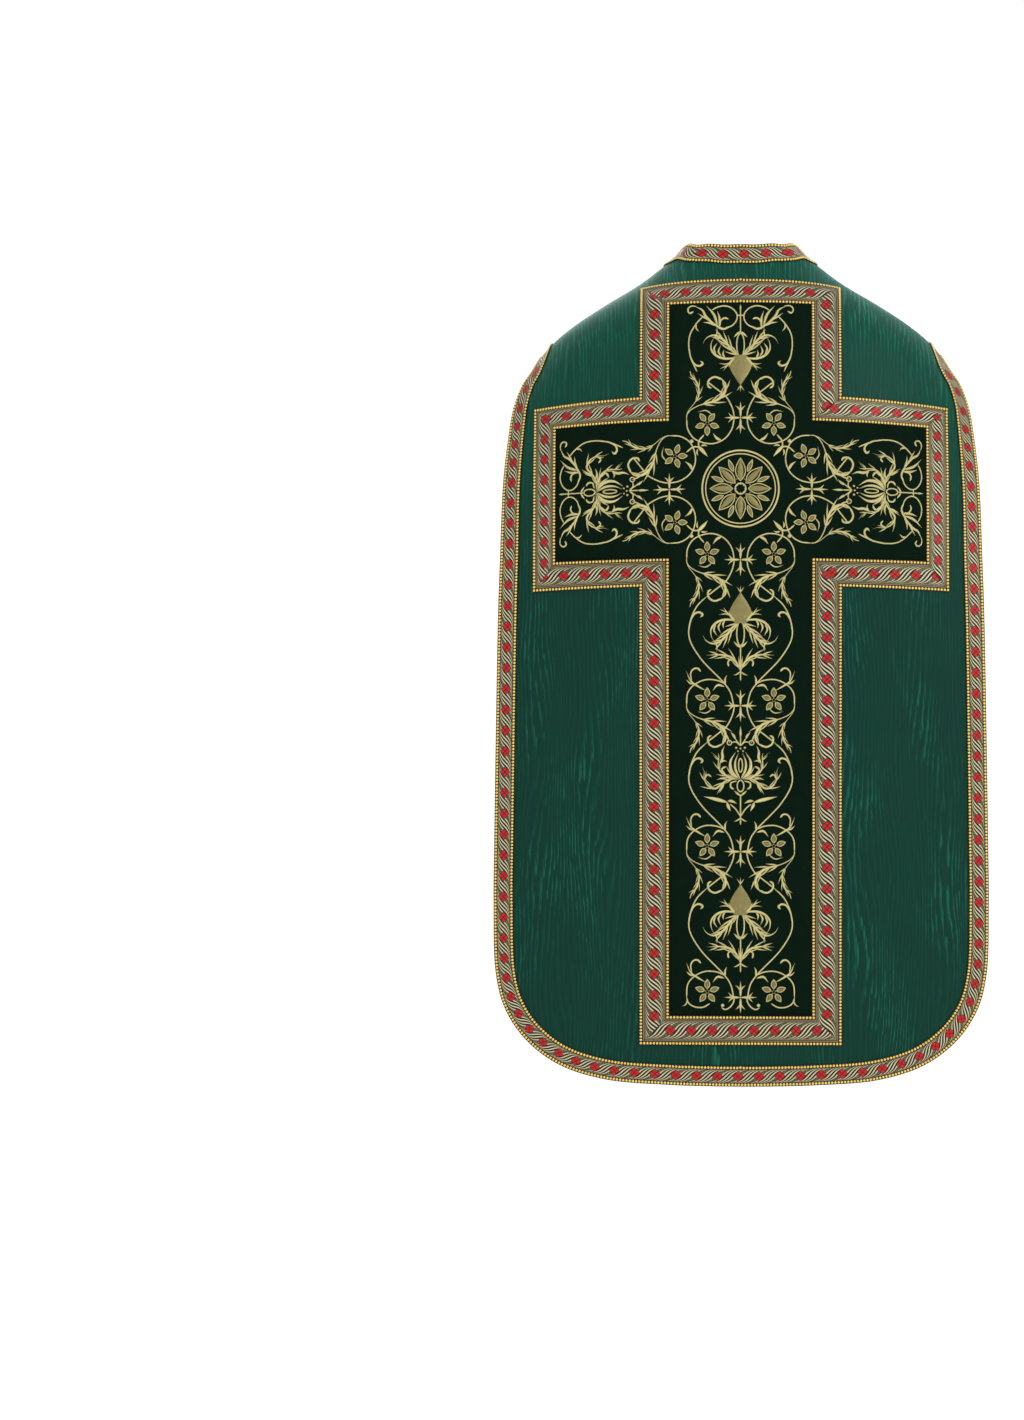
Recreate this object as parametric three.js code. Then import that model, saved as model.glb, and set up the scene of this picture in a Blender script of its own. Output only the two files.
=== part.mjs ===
// Roman chasuble, the stiff fiddleback vestment, hollow as it is worn with no wearer.
// Millimetres, +Z up. The wearer faces -Y and +X is the wearer's left. The origin is on the
// shoulder line at the middle of the neck, where the garment is held.
//
// The cloth is one surface that rolls over the shoulder line. A place on it is a side
// (FRONT or BACK), x across, and run, the length of cloth down from the shoulder line.
// Every piece is cut from the same grid of places, so what is sewn on a panel follows it.
import * as THREE from "three";

const FRONT = -1;
const BACK = 1;

// Cloth build-up, from the outer face of the ground silk (height 0).
const GAP = 0.3;
const SILK = 2.0;
const LINING = 1.0;
const TRIM = 1.2;
const SEAM = 0.4; // half the open line left along the shoulder seam
const INSET = 0.22; // taken off every sewn-on edge so that neighbours stay apart

// Widths of the woven braid.
const NARROW = 27;
const WIDE = 40;
const VELVET_HALF = 93;
const BRAID_HALF = VELVET_HALF + WIDE; // outer side of the braid along the velvet

const ROLL = 60; // drop over which the cloth turns from level to hanging
const HALF_SPAN = 330; // x at which the wrap below is reached

// The shoulder line: height at each distance from the middle.
const SHOULDER = [
  // x, z
  [0, 68], [40, 56], [60, 41], [82, 15], [108, -6], [133, -25], [184, -56],
  [222, -81], [250, -104], [268, -126], [290, -146], [328, -184],
];

// How far each side stands from the shoulder line on the middle, and how far it wraps
// back towards it at the half span, by height.
const BODY = [
  // z, back depth, back wrap, front depth, front wrap
  [60, 52, 108, 52, 108],
  [24, 54, 108, 54, 108],
  [-2, 58, 109, 58, 109],
  [-30, 76, 110, 74, 110],
  [-60, 94, 111, 90, 111],
  [-130, 123, 117, 116, 118],
  [-200, 139, 117, 128, 122],
  [-300, 147, 76, 135, 110],
  [-464, 148, 46, 137, 60],
  [-700, 143, 36, 133, 32],
  [-900, 140, 31, 130, 20],
  [-1090, 138, 28, 128, 18],
];

// Cut outlines from the end of the shoulder seam down to the middle of the hem.
const SEAM_END = 268;
const SEAM_BRAID_IN = 247; // where the edge braid's inner side meets the seam
const BACK_OUTLINE = [
  // x, z
  [280, -148], [290, -163], [302, -197], [309, -244], [314, -303], [317, -400],
  [319, -464], [322, -626], [324, -760], [325, -853], [322, -944], [310, -990],
  [283, -1030], [240, -1062], [180, -1081], [95, -1088], [0, -1090],
];
const FRONT_OUTLINE = [
  // x, z
  [246, -128], [232, -143], [218, -165], [209, -190], [204, -213], [200, -250],
  [198, -290], [202, -345], [212, -410], [230, -480], [256, -555], [277, -610],
  [287, -650], [295, -730], [297, -800], [295, -860], [286, -925], [266, -963],
  [228, -995], [187, -1009], [120, -1014], [0, -1016],
];

// The neck: a straight-sided opening in front, a level edge behind.
const NECK_HALF = 82;
const SEAM_NECK_OUT = 104; // where the neck braid's outer side meets the seam
const NECK_FOOT_HALF = 41.5;
const NECK_FOOT_Z = -211;
const NECK_BACK_Z = 22;
const NECK_BRAID_LEVEL = 27.4; // the sloping neck braid's width, measured level at its foot
const NECK_STEPS = [0, 0.03, 0.1, 0.18, 0.27, 0.36, 0.46, 0.57, 0.68, 0.8, 0.9, 1]; // seam to foot
const NECK_BACK_X = [75, 56, 29, 0];

// Level lines on the back: height in the middle and how far it droops at x = 273.
const BACK_ROWS = [
  // z, droop
  [-182, 16], [-217, 11], [-262, 9], [-307, 8], [-352, 7], [-397, 6], [-434, 8],
];
const BACK_TOP_ROWS = [
  // z, droop at the braid's outer side
  [-16, 12], [-26, 10], [-43, 7], [-60, 4], [-90, 2], [-120, 1], [-150, 0],
];
const ARM_INNER_X = 243;
const ARM_OUTER_X = 273;
const BACK_SIDE_X = 300; // where the level lines are measured to meet the side edge
const SHAFT_ROWS = [
  // z in the middle, z at the side edge
  [-500, -510], [-570, -585], [-650, -670], [-730, -755], [-810, -840], [-880, -905],
  [-940, -948], [-997, -980], [-1036, -1006],
];
const BACK_CORNER_Z = -1026;
const BACK_HEM_X = [268, 248, 225, 198, 166];

// Level lines on the front below the bar.
const BAR_DROOP = 9;
const BAR_DROOP_X = 180; // where the bar has drooped by that much
const BAR_SIDE_X = 200;
const BAR_FOOT_Z = NECK_FOOT_Z - WIDE - 2;
const COLUMN_ROWS = [
  // z in the middle, z at the side edge
  [-300, -297], [-350, -343], [-410, -398], [-480, -462], [-560, -532], [-640, -605],
  [-720, -690], [-800, -790], [-870, -868], [-930, -915],
];
const FRONT_CORNER_Z = -944;
const FRONT_HEM_X = [252, 230, 203, 170];

// Soft hollows pressed into the stiff cloth.
const FOLDS = [
  // side, x, z, lean in degrees, half length, half width, depth
  [BACK, -215, -130, 58, 90, 26, 2.2],
  [BACK, 205, -135, -56, 85, 28, 2.0],
  [BACK, -225, -640, 8, 190, 34, 2.4],
  [BACK, 240, -560, -6, 150, 30, 2.0],
  [BACK, 185, -880, -4, 130, 36, 2.2],
  [BACK, -205, -900, 5, 110, 30, 1.8],
  [FRONT, -165, -120, 52, 75, 22, 1.8],
  [FRONT, 150, -130, -50, 80, 24, 2.0],
  [FRONT, -220, -800, 6, 130, 30, 2.2],
  [FRONT, 225, -790, -7, 140, 32, 2.4],
];

// A smooth curve through rows of (t, value...) that never overshoots them.
function curve(rows, column) {
  const t = rows.map((row) => row[0]);
  const v = rows.map((row) => row[column]);
  const slope = v.slice(1).map((value, i) => (value - v[i]) / (t[i + 1] - t[i]));
  const tangent = v.map((_, i) => {
    if (i === 0) return slope[0];
    if (i === v.length - 1) return slope[i - 1];
    const [a, b] = [slope[i - 1], slope[i]];
    return a * b > 0 ? (2 * a * b) / (a + b) : 0;
  });
  return (at) => {
    let i = 0;
    while (i < t.length - 2 && (t[i + 1] - at) * Math.sign(t[1] - t[0]) < 0) i += 1;
    const step = t[i + 1] - t[i];
    const u = Math.min(1, Math.max(0, (at - t[i]) / step));
    const keep = (1 + 2 * u) * (1 - u) ** 2;
    const rise = u * (1 - u) ** 2;
    const sink = u * u * (u - 1);
    return v[i] * keep + v[i + 1] * (1 - keep) + step * (tangent[i] * rise + tangent[i + 1] * sink);
  };
}

const shoulder = curve(SHOULDER, 1);
const depth = { [BACK]: curve(BODY, 1), [FRONT]: curve(BODY, 3) };
const wrap = { [BACK]: curve(BODY, 2), [FRONT]: curve(BODY, 4) };
const ROLL_RUN = (ROLL * Math.PI) / 2;

// The height at a place, and the run of a place from its height.
function heightAt(x, run) {
  const top = shoulder(Math.abs(x));
  if (run >= ROLL_RUN) return top - ROLL - (run - ROLL_RUN);
  return top - ROLL * (1 - Math.cos(run / ROLL));
}

function runAt(x, z) {
  const drop = shoulder(Math.abs(x)) - z;
  if (drop >= ROLL) return ROLL_RUN + drop - ROLL;
  return ROLL * Math.acos(1 - Math.max(0, drop) / ROLL);
}

function foldAt(side, x, z) {
  let sum = 0;
  for (const [where, fx, fz, lean, halfLength, halfWidth, deep] of FOLDS) {
    if (where !== side) continue;
    const turn = (lean * Math.PI) / 180;
    const along = (x - fx) * Math.sin(turn) + (z - fz) * Math.cos(turn);
    const across = (x - fx) * Math.cos(turn) - (z - fz) * Math.sin(turn);
    sum += deep * Math.exp(-((along / halfLength) ** 2) - (across / halfWidth) ** 2);
  }
  return sum;
}

function onCloth(side, x, run) {
  const z = heightAt(x, run);
  const out = depth[side](z) - wrap[side](z) * (Math.abs(x) / HALF_SPAN) ** 3 - foldAt(side, x, z);
  const turned = run >= ROLL_RUN ? 1 : Math.sin(run / ROLL);
  return new THREE.Vector3(x, side * out * turned, z);
}

const STEP = 0.5;

function across(place) {
  const [side, x, run] = place;
  return onCloth(side, x + STEP, run).sub(onCloth(side, x - STEP, run)).divideScalar(2 * STEP);
}

function down(place) {
  const [side, x, run] = place;
  return onCloth(side, x, run + STEP).sub(onCloth(side, x, run - STEP)).divideScalar(2 * STEP);
}

function outward(place) {
  return across(place).cross(down(place)).multiplyScalar(place[0]).normalize();
}

function raised(place, height) {
  return onCloth(...place).addScaledVector(outward(place), height);
}

// The place reached from another by going a length over the cloth in a 3-D direction.
function moved(place, direction, length) {
  const [u, v] = [across(place), down(place)];
  const [uu, uv, vv] = [u.dot(u), u.dot(v), v.dot(v)];
  const [du, dv] = [direction.dot(u), direction.dot(v)];
  const scale = length / (uu * vv - uv * uv);
  return [place[0], place[1] + scale * (du * vv - dv * uv), place[2] + scale * (dv * uu - du * uv)];
}

// A line of places a braid's width inside an edge, in four short steps each.
function insideEdge(edge, width, turn) {
  return edge.map((place, i) => {
    const before = edge[Math.max(0, i - 1)];
    const after = edge[Math.min(edge.length - 1, i + 1)];
    const along = onCloth(...after).sub(onCloth(...before)).normalize();
    let here = place;
    for (let k = 0; k < 4; k += 1) {
      const inward = outward(here).cross(along).multiplyScalar(turn).normalize();
      here = moved(here, inward, width / 4);
    }
    return here;
  });
}

const OUTLINE_STEPS = 600;

// A smooth outline as places, dense enough to look points up by height or distance.
function outlinePlaces(side, table) {
  const [x1, z1] = table.at(-2);
  const points = [[SEAM_END, heightAt(SEAM_END, SEAM)], ...table, [-x1, z1]];
  const line = new THREE.CatmullRomCurve3(
    points.map(([x, z]) => new THREE.Vector3(x, z, 0)),
    false,
    "centripetal",
  );
  const last = table.length / (table.length + 1);
  return Array.from({ length: OUTLINE_STEPS + 1 }, (_, i) => {
    const p = line.getPoint((i / OUTLINE_STEPS) * last);
    return [side, p.x, i === 0 ? SEAM : Math.max(SEAM, runAt(p.x, p.y))];
  });
}

function lookUp(places, test) {
  const i = places.findIndex(test);
  return i < 0 ? places.length - 1 : i;
}

function mix(a, b, t) {
  return [a[0], a[1] + (b[1] - a[1]) * t, a[2] + (b[2] - a[2]) * t];
}

// Inner places of a four-sided patch from its four edges (Coons).
function patch(top, bottom, left, right) {
  const columns = top.length - 1;
  const rows = left.length - 1;
  return left.map((_, j) =>
    top.map((__, i) => {
      const [s, t] = [i / columns, j / rows];
      if (i === 0) return left[j];
      if (i === columns) return right[j];
      if (j === 0) return top[i];
      if (j === rows) return bottom[i];
      const sides = mix(left[j], right[j], s);
      const ends = mix(top[i], bottom[i], t);
      const corners = mix(mix(left[0], right[0], s), mix(left[rows], right[rows], s), t);
      return [left[j][0], sides[1] + ends[1] - corners[1], sides[2] + ends[2] - corners[2]];
    }),
  );
}

function cells(grid) {
  const out = [];
  for (let j = 0; j + 1 < grid.length; j += 1) {
    for (let i = 0; i + 1 < grid[j].length; i += 1) {
      out.push([grid[j][i], grid[j][i + 1], grid[j + 1][i + 1], grid[j + 1][i]]);
    }
  }
  return out;
}

function strip(inner, outer) {
  return cells([inner, outer]);
}

function mirror(quads) {
  return quads.map((quad) => quad.map(([side, x, run]) => [side, -x, run]).reverse());
}

function both(quads) {
  return [...quads, ...mirror(quads)];
}

const ON_MIDDLE = 1e-6; // x below which a place is taken to lie on the middle line
const NO_PULL = 0.05; // squared length of the summed pulls where opposite rims cancel out

// A closed wall over a set of cells, between two heights from the silk's outer face. The rim
// is drawn in by the inset.
function wall(name, quads, low, high, inset, colour, roughness, metalness = 0) {
  const keyOf = (p) => p.map((value) => value.toFixed(3)).join();
  const index = new Map();
  const places = [];
  const faces = quads.map((quad) =>
    quad.map((place) => {
      const clean = Math.abs(place[1]) < ON_MIDDLE ? [place[0], 0, place[2]] : place;
      const key = keyOf(clean);
      if (!index.has(key)) {
        index.set(key, places.length);
        places.push(clean);
      }
      return index.get(key);
    }),
  );
  const facing = faces.map(([a, b, c, d]) => {
    const middle = places[a];
    const first = onCloth(...places[c]).sub(onCloth(...places[a]));
    const second = onCloth(...places[d]).sub(onCloth(...places[b]));
    return first.cross(second).dot(outward(middle)) >= 0 ? [a, b, c, d] : [d, c, b, a];
  });
  const uses = new Map();
  for (const face of facing) {
    face.forEach((from, k) => {
      const to = face[(k + 1) % 4];
      uses.set(`${from},${to}`, [from, to]);
    });
  }
  const rim = [...uses.values()].filter(([from, to]) => !uses.has(`${to},${from}`));
  const pull = places.map(() => []);
  for (const [from, to] of rim) {
    const along = onCloth(...places[to]).sub(onCloth(...places[from])).normalize();
    const inward = outward(places[from]).cross(along).normalize();
    pull[from].push(inward);
    pull[to].push(inward);
  }
  const settled = places.map((place, i) => {
    if (!inset || pull[i].length === 0) return place;
    const sum = pull[i].reduce((total, v) => total.add(v), new THREE.Vector3());
    const square = sum.lengthSq();
    if (square < NO_PULL) return place;
    return moved(place, sum, (inset * pull[i].length) / square);
  });
  const position = [];
  for (const height of [high, low]) {
    for (const place of settled) position.push(...raised(place, height).toArray());
  }
  const under = places.length;
  const triangles = [];
  for (const [a, b, c, d] of facing) {
    triangles.push(a, b, c, a, c, d);
    triangles.push(a + under, c + under, b + under, a + under, d + under, c + under);
  }
  for (const [from, to] of rim) {
    triangles.push(from + under, to + under, to, from + under, to, from);
  }
  const geometry = new THREE.BufferGeometry();
  geometry.setAttribute("position", new THREE.Float32BufferAttribute(position, 3));
  geometry.setIndex(triangles);
  geometry.computeVertexNormals();
  const material = new THREE.MeshStandardMaterial({ color: colour, roughness, metalness });
  const mesh = new THREE.Mesh(geometry, material);
  mesh.name = name;
  return mesh;
}

// The neck braid: places along the neck edge from the seam, then the line a braid outside.
const neckFront = NECK_STEPS.map((t, i) => {
  if (i === 0) return [FRONT, NECK_HALF, SEAM];
  const x = NECK_HALF + (NECK_FOOT_HALF - NECK_HALF) * t;
  const top = shoulder(NECK_HALF);
  return [FRONT, x, runAt(x, top + (NECK_FOOT_Z - top) * t)];
});
const neckBack = [
  [BACK, NECK_HALF, SEAM],
  ...NECK_BACK_X.map((x) => [BACK, x, runAt(x, NECK_BACK_Z)]),
];

// A line outside the neck edge, square to the seam at its start and set to a place at its end.
function neckOutside(inner, turn, end) {
  const outer = insideEdge(inner, NARROW, turn);
  return [[inner[0][0], SEAM_NECK_OUT, SEAM], ...outer.slice(1, -1), end(outer.at(-1))];
}

// Places along the shoulder seam between the neck braid and the edge braid.
function seamPlaces(side, count) {
  const step = (SEAM_BRAID_IN - SEAM_NECK_OUT) / count;
  return Array.from({ length: count }, (_, k) => [side, SEAM_NECK_OUT + step * (k + 1), SEAM]);
}

const neckFootOutX = NECK_FOOT_HALF + NECK_BRAID_LEVEL;
const neckFrontOuter = neckOutside(neckFront, 1, () => [
  FRONT, neckFootOutX, runAt(neckFootOutX, NECK_FOOT_Z),
]);
const neckBackOuter = neckOutside(neckBack, -1, (place) => [BACK, 0, place[2]]);

// The back's grid, right half, from the middle outwards.
const backEdge = outlinePlaces(BACK, BACK_OUTLINE);
const backInside = insideEdge(backEdge, NARROW, 1);

function backRowZ(x, [z, droop]) {
  return z - droop * (x / ARM_OUTER_X) ** 2;
}

const middleColumns = [0, VELVET_HALF / 3, (2 * VELVET_HALF) / 3, VELVET_HALF, BRAID_HALF];
const armColumns = [160, 188, 216, ARM_INNER_X, ARM_OUTER_X];

function sidePlaces(edge, inside, heights) {
  const picks = heights.map((z) => lookUp(edge, (p) => heightAt(p[1], p[2]) <= z));
  return { edge: picks.map((i) => edge[i]), inside: picks.map((i) => inside[i]), picks };
}

const backArmSide = sidePlaces(
  backEdge,
  backInside,
  BACK_ROWS.map((row) => backRowZ(BACK_SIDE_X, row)),
);
const topPicks = BACK_TOP_ROWS.map((_, k, all) =>
  Math.round((backArmSide.picks[0] * (k + 1)) / (all.length + 1)),
);
const seamInner = (inside) => [inside[0][0], SEAM_BRAID_IN, SEAM];
const backTopSide = {
  edge: [backEdge[0], ...topPicks.map((i) => backEdge[i]), backArmSide.edge[0]],
  inside: [seamInner(backInside), ...topPicks.map((i) => backInside[i]), backArmSide.inside[0]],
};

// Above the cross bar: neck braid to bar in the middle, seam to bar outside it.
const backTopMiddle = [
  [...neckBackOuter].reverse(),
  ...BACK_TOP_ROWS.map(([z, droop]) =>
    middleColumns.map((x) => [BACK, x, runAt(x, z - droop * (x / BRAID_HALF) ** 2)]),
  ),
  middleColumns.map((x) => [BACK, x, runAt(x, backRowZ(x, BACK_ROWS[0]))]),
];
const topBraidSide = backTopMiddle.map((row) => row.at(-1));
const seamTop = seamPlaces(BACK, armColumns.length + 1);
const backTopOuter = patch(
  [topBraidSide[0], ...seamTop],
  [
    topBraidSide.at(-1),
    ...armColumns.map((x) => [BACK, x, runAt(x, backRowZ(x, BACK_ROWS[0]))]),
    backArmSide.inside[0],
  ],
  topBraidSide,
  backTopSide.inside,
);

// The cross bar's rows.
const backArmRows = BACK_ROWS.map((row, j) => [
  ...[...middleColumns, ...armColumns].map((x) => [BACK, x, runAt(x, backRowZ(x, row))]),
  backArmSide.inside[j],
]);

// Below the cross bar: the shaft, then the side patch down to the hem braid.
const inwardColumns = [...middleColumns].reverse();
const backCorner = lookUp(backEdge, (p) => heightAt(p[1], p[2]) <= BACK_CORNER_Z);
const backSidePicks = [
  backArmSide.picks.at(-1),
  ...SHAFT_ROWS.map(([, z]) => lookUp(backEdge, (p) => heightAt(p[1], p[2]) <= z)),
  backCorner,
];
const hemPicks = (inside, corner, xs) => [
  corner,
  ...xs.map((x) => lookUp(inside, (p, i) => i > corner && p[1] <= x)),
];
const hemPlaces = (inside, picks, straight) =>
  picks.map((i, k) => {
    const x = straight[k - picks.length + straight.length];
    return x === undefined ? inside[i] : [inside[i][0], x, inside[i][2]];
  });
const backHem = hemPicks(backInside, backCorner, [...BACK_HEM_X, ...inwardColumns]);
const backHemInside = hemPlaces(backInside, backHem, inwardColumns);
const backShaft = [
  backArmRows.at(-1).slice(0, middleColumns.length),
  ...SHAFT_ROWS.map(([z]) => middleColumns.map((x) => [BACK, x, runAt(x, z)])),
  backHemInside.slice(-middleColumns.length).reverse(),
];
const backLowOuter = patch(
  backArmRows.at(-1).slice(middleColumns.length - 1),
  backHemInside.slice(0, BACK_HEM_X.length + 2).reverse(),
  backShaft.map((row) => row.at(-1)),
  backSidePicks.map((i) => backInside[i]),
);

// The hem braid's cells follow the panel's own edge places, top of the side to the middle.
const backRingInside = [
  ...backTopSide.inside,
  ...backArmSide.inside.slice(1),
  ...backSidePicks.slice(1).map((i) => backInside[i]),
  ...backHemInside.slice(1),
];
const backRingEdge = [
  ...backTopSide.edge,
  ...backArmSide.edge.slice(1),
  ...backSidePicks.slice(1).map((i) => backEdge[i]),
  ...backHem.slice(1, -1).map((i) => backEdge[i]),
  [BACK, 0, backEdge.at(-1)[2]],
];
const backRing = strip(backRingInside, backRingEdge);
const neckBackStrip = strip(neckBack, neckBackOuter);

const topMiddle = cells(backTopMiddle);
const armAll = cells(backArmRows);
const shaftAll = cells(backShaft);
const backGround = both([
  ...topMiddle, ...cells(backTopOuter), ...armAll, ...shaftAll, ...cells(backLowOuter),
  ...backRing, ...neckBackStrip,
]);

// Which cells the cross braid and the velvet inside it take.
function inRows(grid, from, to, columnFrom, columnTo) {
  return cells(grid.slice(from, to + 1).map((row) => row.slice(columnFrom, columnTo + 1)));
}

// Rows and columns of the grids where the braid's and the velvet's edges lie.
const braidTop = 2;
const velvetTop = 4;
const armTop = backTopMiddle.length - 1;
const velvetSide = middleColumns.indexOf(VELVET_HALF);
const braidSide = middleColumns.indexOf(BRAID_HALF);
const armInner = middleColumns.length + armColumns.indexOf(ARM_INNER_X);
const armOuter = middleColumns.length + armColumns.indexOf(ARM_OUTER_X);
const armFoot = BACK_ROWS.length - 1;
const velvetFoot = SHAFT_ROWS.length - 1;
const braidFoot = SHAFT_ROWS.length;
const crossVelvet = both([
  ...inRows(backTopMiddle, velvetTop, armTop, 0, velvetSide),
  ...inRows(backArmRows, 0, 1, 0, velvetSide),
  ...inRows(backArmRows, 1, armFoot - 1, 0, armInner),
  ...inRows(backArmRows, armFoot - 1, armFoot, 0, velvetSide),
  ...inRows(backShaft, 0, velvetFoot, 0, velvetSide),
]);
const crossBraid = both([
  ...inRows(backTopMiddle, braidTop, velvetTop, 0, braidSide),
  ...inRows(backTopMiddle, velvetTop, armTop, velvetSide, braidSide),
  ...inRows(backArmRows, 0, 1, velvetSide, armOuter),
  ...inRows(backArmRows, 1, armFoot - 1, armInner, armOuter),
  ...inRows(backArmRows, armFoot - 1, armFoot, velvetSide, armOuter),
  ...inRows(backShaft, 0, velvetFoot, velvetSide, braidSide),
  ...inRows(backShaft, velvetFoot, braidFoot, 0, braidSide),
]);

// The front's grid, right half.
const frontEdge = outlinePlaces(FRONT, FRONT_OUTLINE);
const frontInside = insideEdge(frontEdge, NARROW, -1);

function barZ(x, z) {
  return z - BAR_DROOP * (x / BAR_DROOP_X) ** 2;
}

const barSide = sidePlaces(frontEdge, frontInside, [
  barZ(BAR_SIDE_X, NECK_FOOT_Z),
  barZ(BAR_SIDE_X, BAR_FOOT_Z),
]);
const strapRows = neckFront.length - 1;
const strapPicks = neckFront.map((_, j) => Math.round((barSide.picks[0] * j) / strapRows));
const strapSide = {
  edge: strapPicks.map((i) => frontEdge[i]),
  inside: strapPicks.map((i, j) => (j === 0 ? seamInner(frontInside) : frontInside[i])),
};

// Places along one edge of the bar: the given ones, evenly on from there, and the inside place.
const BAR_OUTER_CELLS = 5;
function barPlaces(columns, z, end) {
  const step = (end[1] - BRAID_HALF) / BAR_OUTER_CELLS;
  const outer = Array.from({ length: BAR_OUTER_CELLS - 1 }, (_, k) => BRAID_HALF + step * (k + 1));
  return [...[...columns, ...outer].map((x) => [FRONT, x, runAt(x, barZ(x, z))]), end];
}

const braidMiddle = VELVET_HALF + WIDE / 2;
const neckColumns = [0, NECK_FOOT_HALF / 2, NECK_FOOT_HALF, neckFootOutX];
const barColumns = [...neckColumns, VELVET_HALF, braidMiddle, BRAID_HALF];
const barTop = barPlaces(barColumns, NECK_FOOT_Z, barSide.inside[0]);
barTop[neckColumns.indexOf(NECK_FOOT_HALF)] = neckFront.at(-1);
barTop[neckColumns.indexOf(neckFootOutX)] = neckFrontOuter.at(-1);
const columnX = [0, 1, 2, 3, 4].map((k) => (VELVET_HALF * k) / 4).concat(braidMiddle, BRAID_HALF);
const barFoot = barPlaces(columnX, BAR_FOOT_Z, barSide.inside[1]);
const strapFoot = barTop.slice(neckColumns.indexOf(neckFootOutX));
const strap = patch(
  [neckFrontOuter[0], ...seamPlaces(FRONT, strapFoot.length - 1)],
  strapFoot,
  neckFrontOuter,
  strapSide.inside,
);
const bar = cells([barTop, barFoot]);

// Below the bar: the column under it and the side patch out to the braid.
const frontCorner = lookUp(frontEdge, (p) => heightAt(p[1], p[2]) <= FRONT_CORNER_Z);
const frontSidePicks = [
  barSide.picks[1],
  ...COLUMN_ROWS.map(([, z]) => lookUp(frontEdge, (p) => heightAt(p[1], p[2]) <= z)),
  frontCorner,
];
const inwardColumnX = [...columnX].reverse();
const frontHem = hemPicks(frontInside, frontCorner, [...FRONT_HEM_X, ...inwardColumnX]);
const frontHemInside = hemPlaces(frontInside, frontHem, inwardColumnX);
const column = [
  barFoot.slice(0, columnX.length),
  ...COLUMN_ROWS.map(([z]) => columnX.map((x) => [FRONT, x, runAt(x, z)])),
  frontHemInside.slice(-columnX.length).reverse(),
];
const frontLowOuter = patch(
  barFoot.slice(columnX.length - 1),
  frontHemInside.slice(0, FRONT_HEM_X.length + 2).reverse(),
  column.map((row) => row.at(-1)),
  frontSidePicks.map((i) => frontInside[i]),
);
const frontRingInside = [
  ...strapSide.inside,
  ...frontSidePicks.map((i) => frontInside[i]),
  ...frontHemInside.slice(1),
];
const frontRingEdge = [
  ...strapSide.edge,
  ...frontSidePicks.map((i) => frontEdge[i]),
  ...frontHem.slice(1, -1).map((i) => frontEdge[i]),
  [FRONT, 0, frontEdge.at(-1)[2]],
];
const frontRing = strip(frontRingInside, frontRingEdge);
const neckFrontStrip = strip(neckFront, neckFrontOuter);
const frontGround = both([
  ...cells(strap), ...bar, ...cells(column), ...cells(frontLowOuter), ...frontRing, ...neckFrontStrip,
]);
const columnFoot = column.length - 1;
const velvetEdge = columnX.indexOf(VELVET_HALF);
const velvetFront = both(inRows(column, 0, columnFoot, 0, velvetEdge));
const braidLeft = inRows(column, 0, columnFoot, velvetEdge, columnX.length - 1);
const neckBridge = [[neckFront[0], neckFrontOuter[0], neckBackOuter[0], neckBack[0]]];
const neckBraid = both([...neckFrontStrip, ...neckBridge, ...neckBackStrip]);

const SILK_GREEN = 0x14503c;
const LINING_GREEN = 0x123a2c;
const VELVET_GREEN = 0x0a1810;
const BRAID_GOLD = 0xb09a5e;
const onTop = [GAP, GAP + TRIM, INSET];
const braid = (name, quads) => wall(name, quads, ...onTop, BRAID_GOLD, 0.45, 0.35);

const chasuble = new THREE.Group();
chasuble.name = "roman_chasuble";
chasuble.add(
  wall("back_panel", backGround, -SILK, 0, 0, SILK_GREEN, 0.5),
  wall("front_panel", frontGround, -SILK, 0, 0, SILK_GREEN, 0.5),
  wall("back_lining", backGround, -SILK - GAP - LINING, -SILK - GAP, INSET, LINING_GREEN, 0.7),
  wall("orphrey_back", crossVelvet, ...onTop, VELVET_GREEN, 0.95),
  wall("orphrey_front", velvetFront, ...onTop, VELVET_GREEN, 0.95),
  braid("galloon_cross_back", crossBraid),
  braid("galloon_bar_front", both(bar)),
  braid("galloon_column_front_left", braidLeft),
  braid("galloon_column_front_right", mirror(braidLeft)),
  braid("galloon_neck", neckBraid),
  braid("galloon_edge_back", both(backRing)),
  braid("galloon_edge_front", both(frontRing)),
);

export default chasuble;
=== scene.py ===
import math

import bpy
import numpy as np
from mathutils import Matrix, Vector


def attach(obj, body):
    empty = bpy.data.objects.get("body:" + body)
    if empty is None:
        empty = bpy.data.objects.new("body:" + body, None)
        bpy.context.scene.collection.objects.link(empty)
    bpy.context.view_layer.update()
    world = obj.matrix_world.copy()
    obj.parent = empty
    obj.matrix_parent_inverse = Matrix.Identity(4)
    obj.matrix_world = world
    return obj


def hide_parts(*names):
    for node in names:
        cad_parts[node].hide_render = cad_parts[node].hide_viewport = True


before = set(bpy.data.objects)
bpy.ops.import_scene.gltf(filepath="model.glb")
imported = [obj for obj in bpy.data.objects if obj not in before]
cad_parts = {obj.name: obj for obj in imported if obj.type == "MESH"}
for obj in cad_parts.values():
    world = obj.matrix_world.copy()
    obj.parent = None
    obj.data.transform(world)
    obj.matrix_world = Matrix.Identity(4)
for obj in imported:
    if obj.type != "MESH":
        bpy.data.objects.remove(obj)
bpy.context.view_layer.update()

# The back. Green moire silk on a stiff interlining, cut with straight sides and round hem
# corners and sewn to the front along the top of the shoulders. It turns over the shoulder
# line, then falls straight, and its sides come a little forward.
MM = 0.001
BACK, FRONT = 1, -1
ROLL = 60.0
HALF_SPAN = 330.0
SEAM = 0.4
SILK = 2.0
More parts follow.
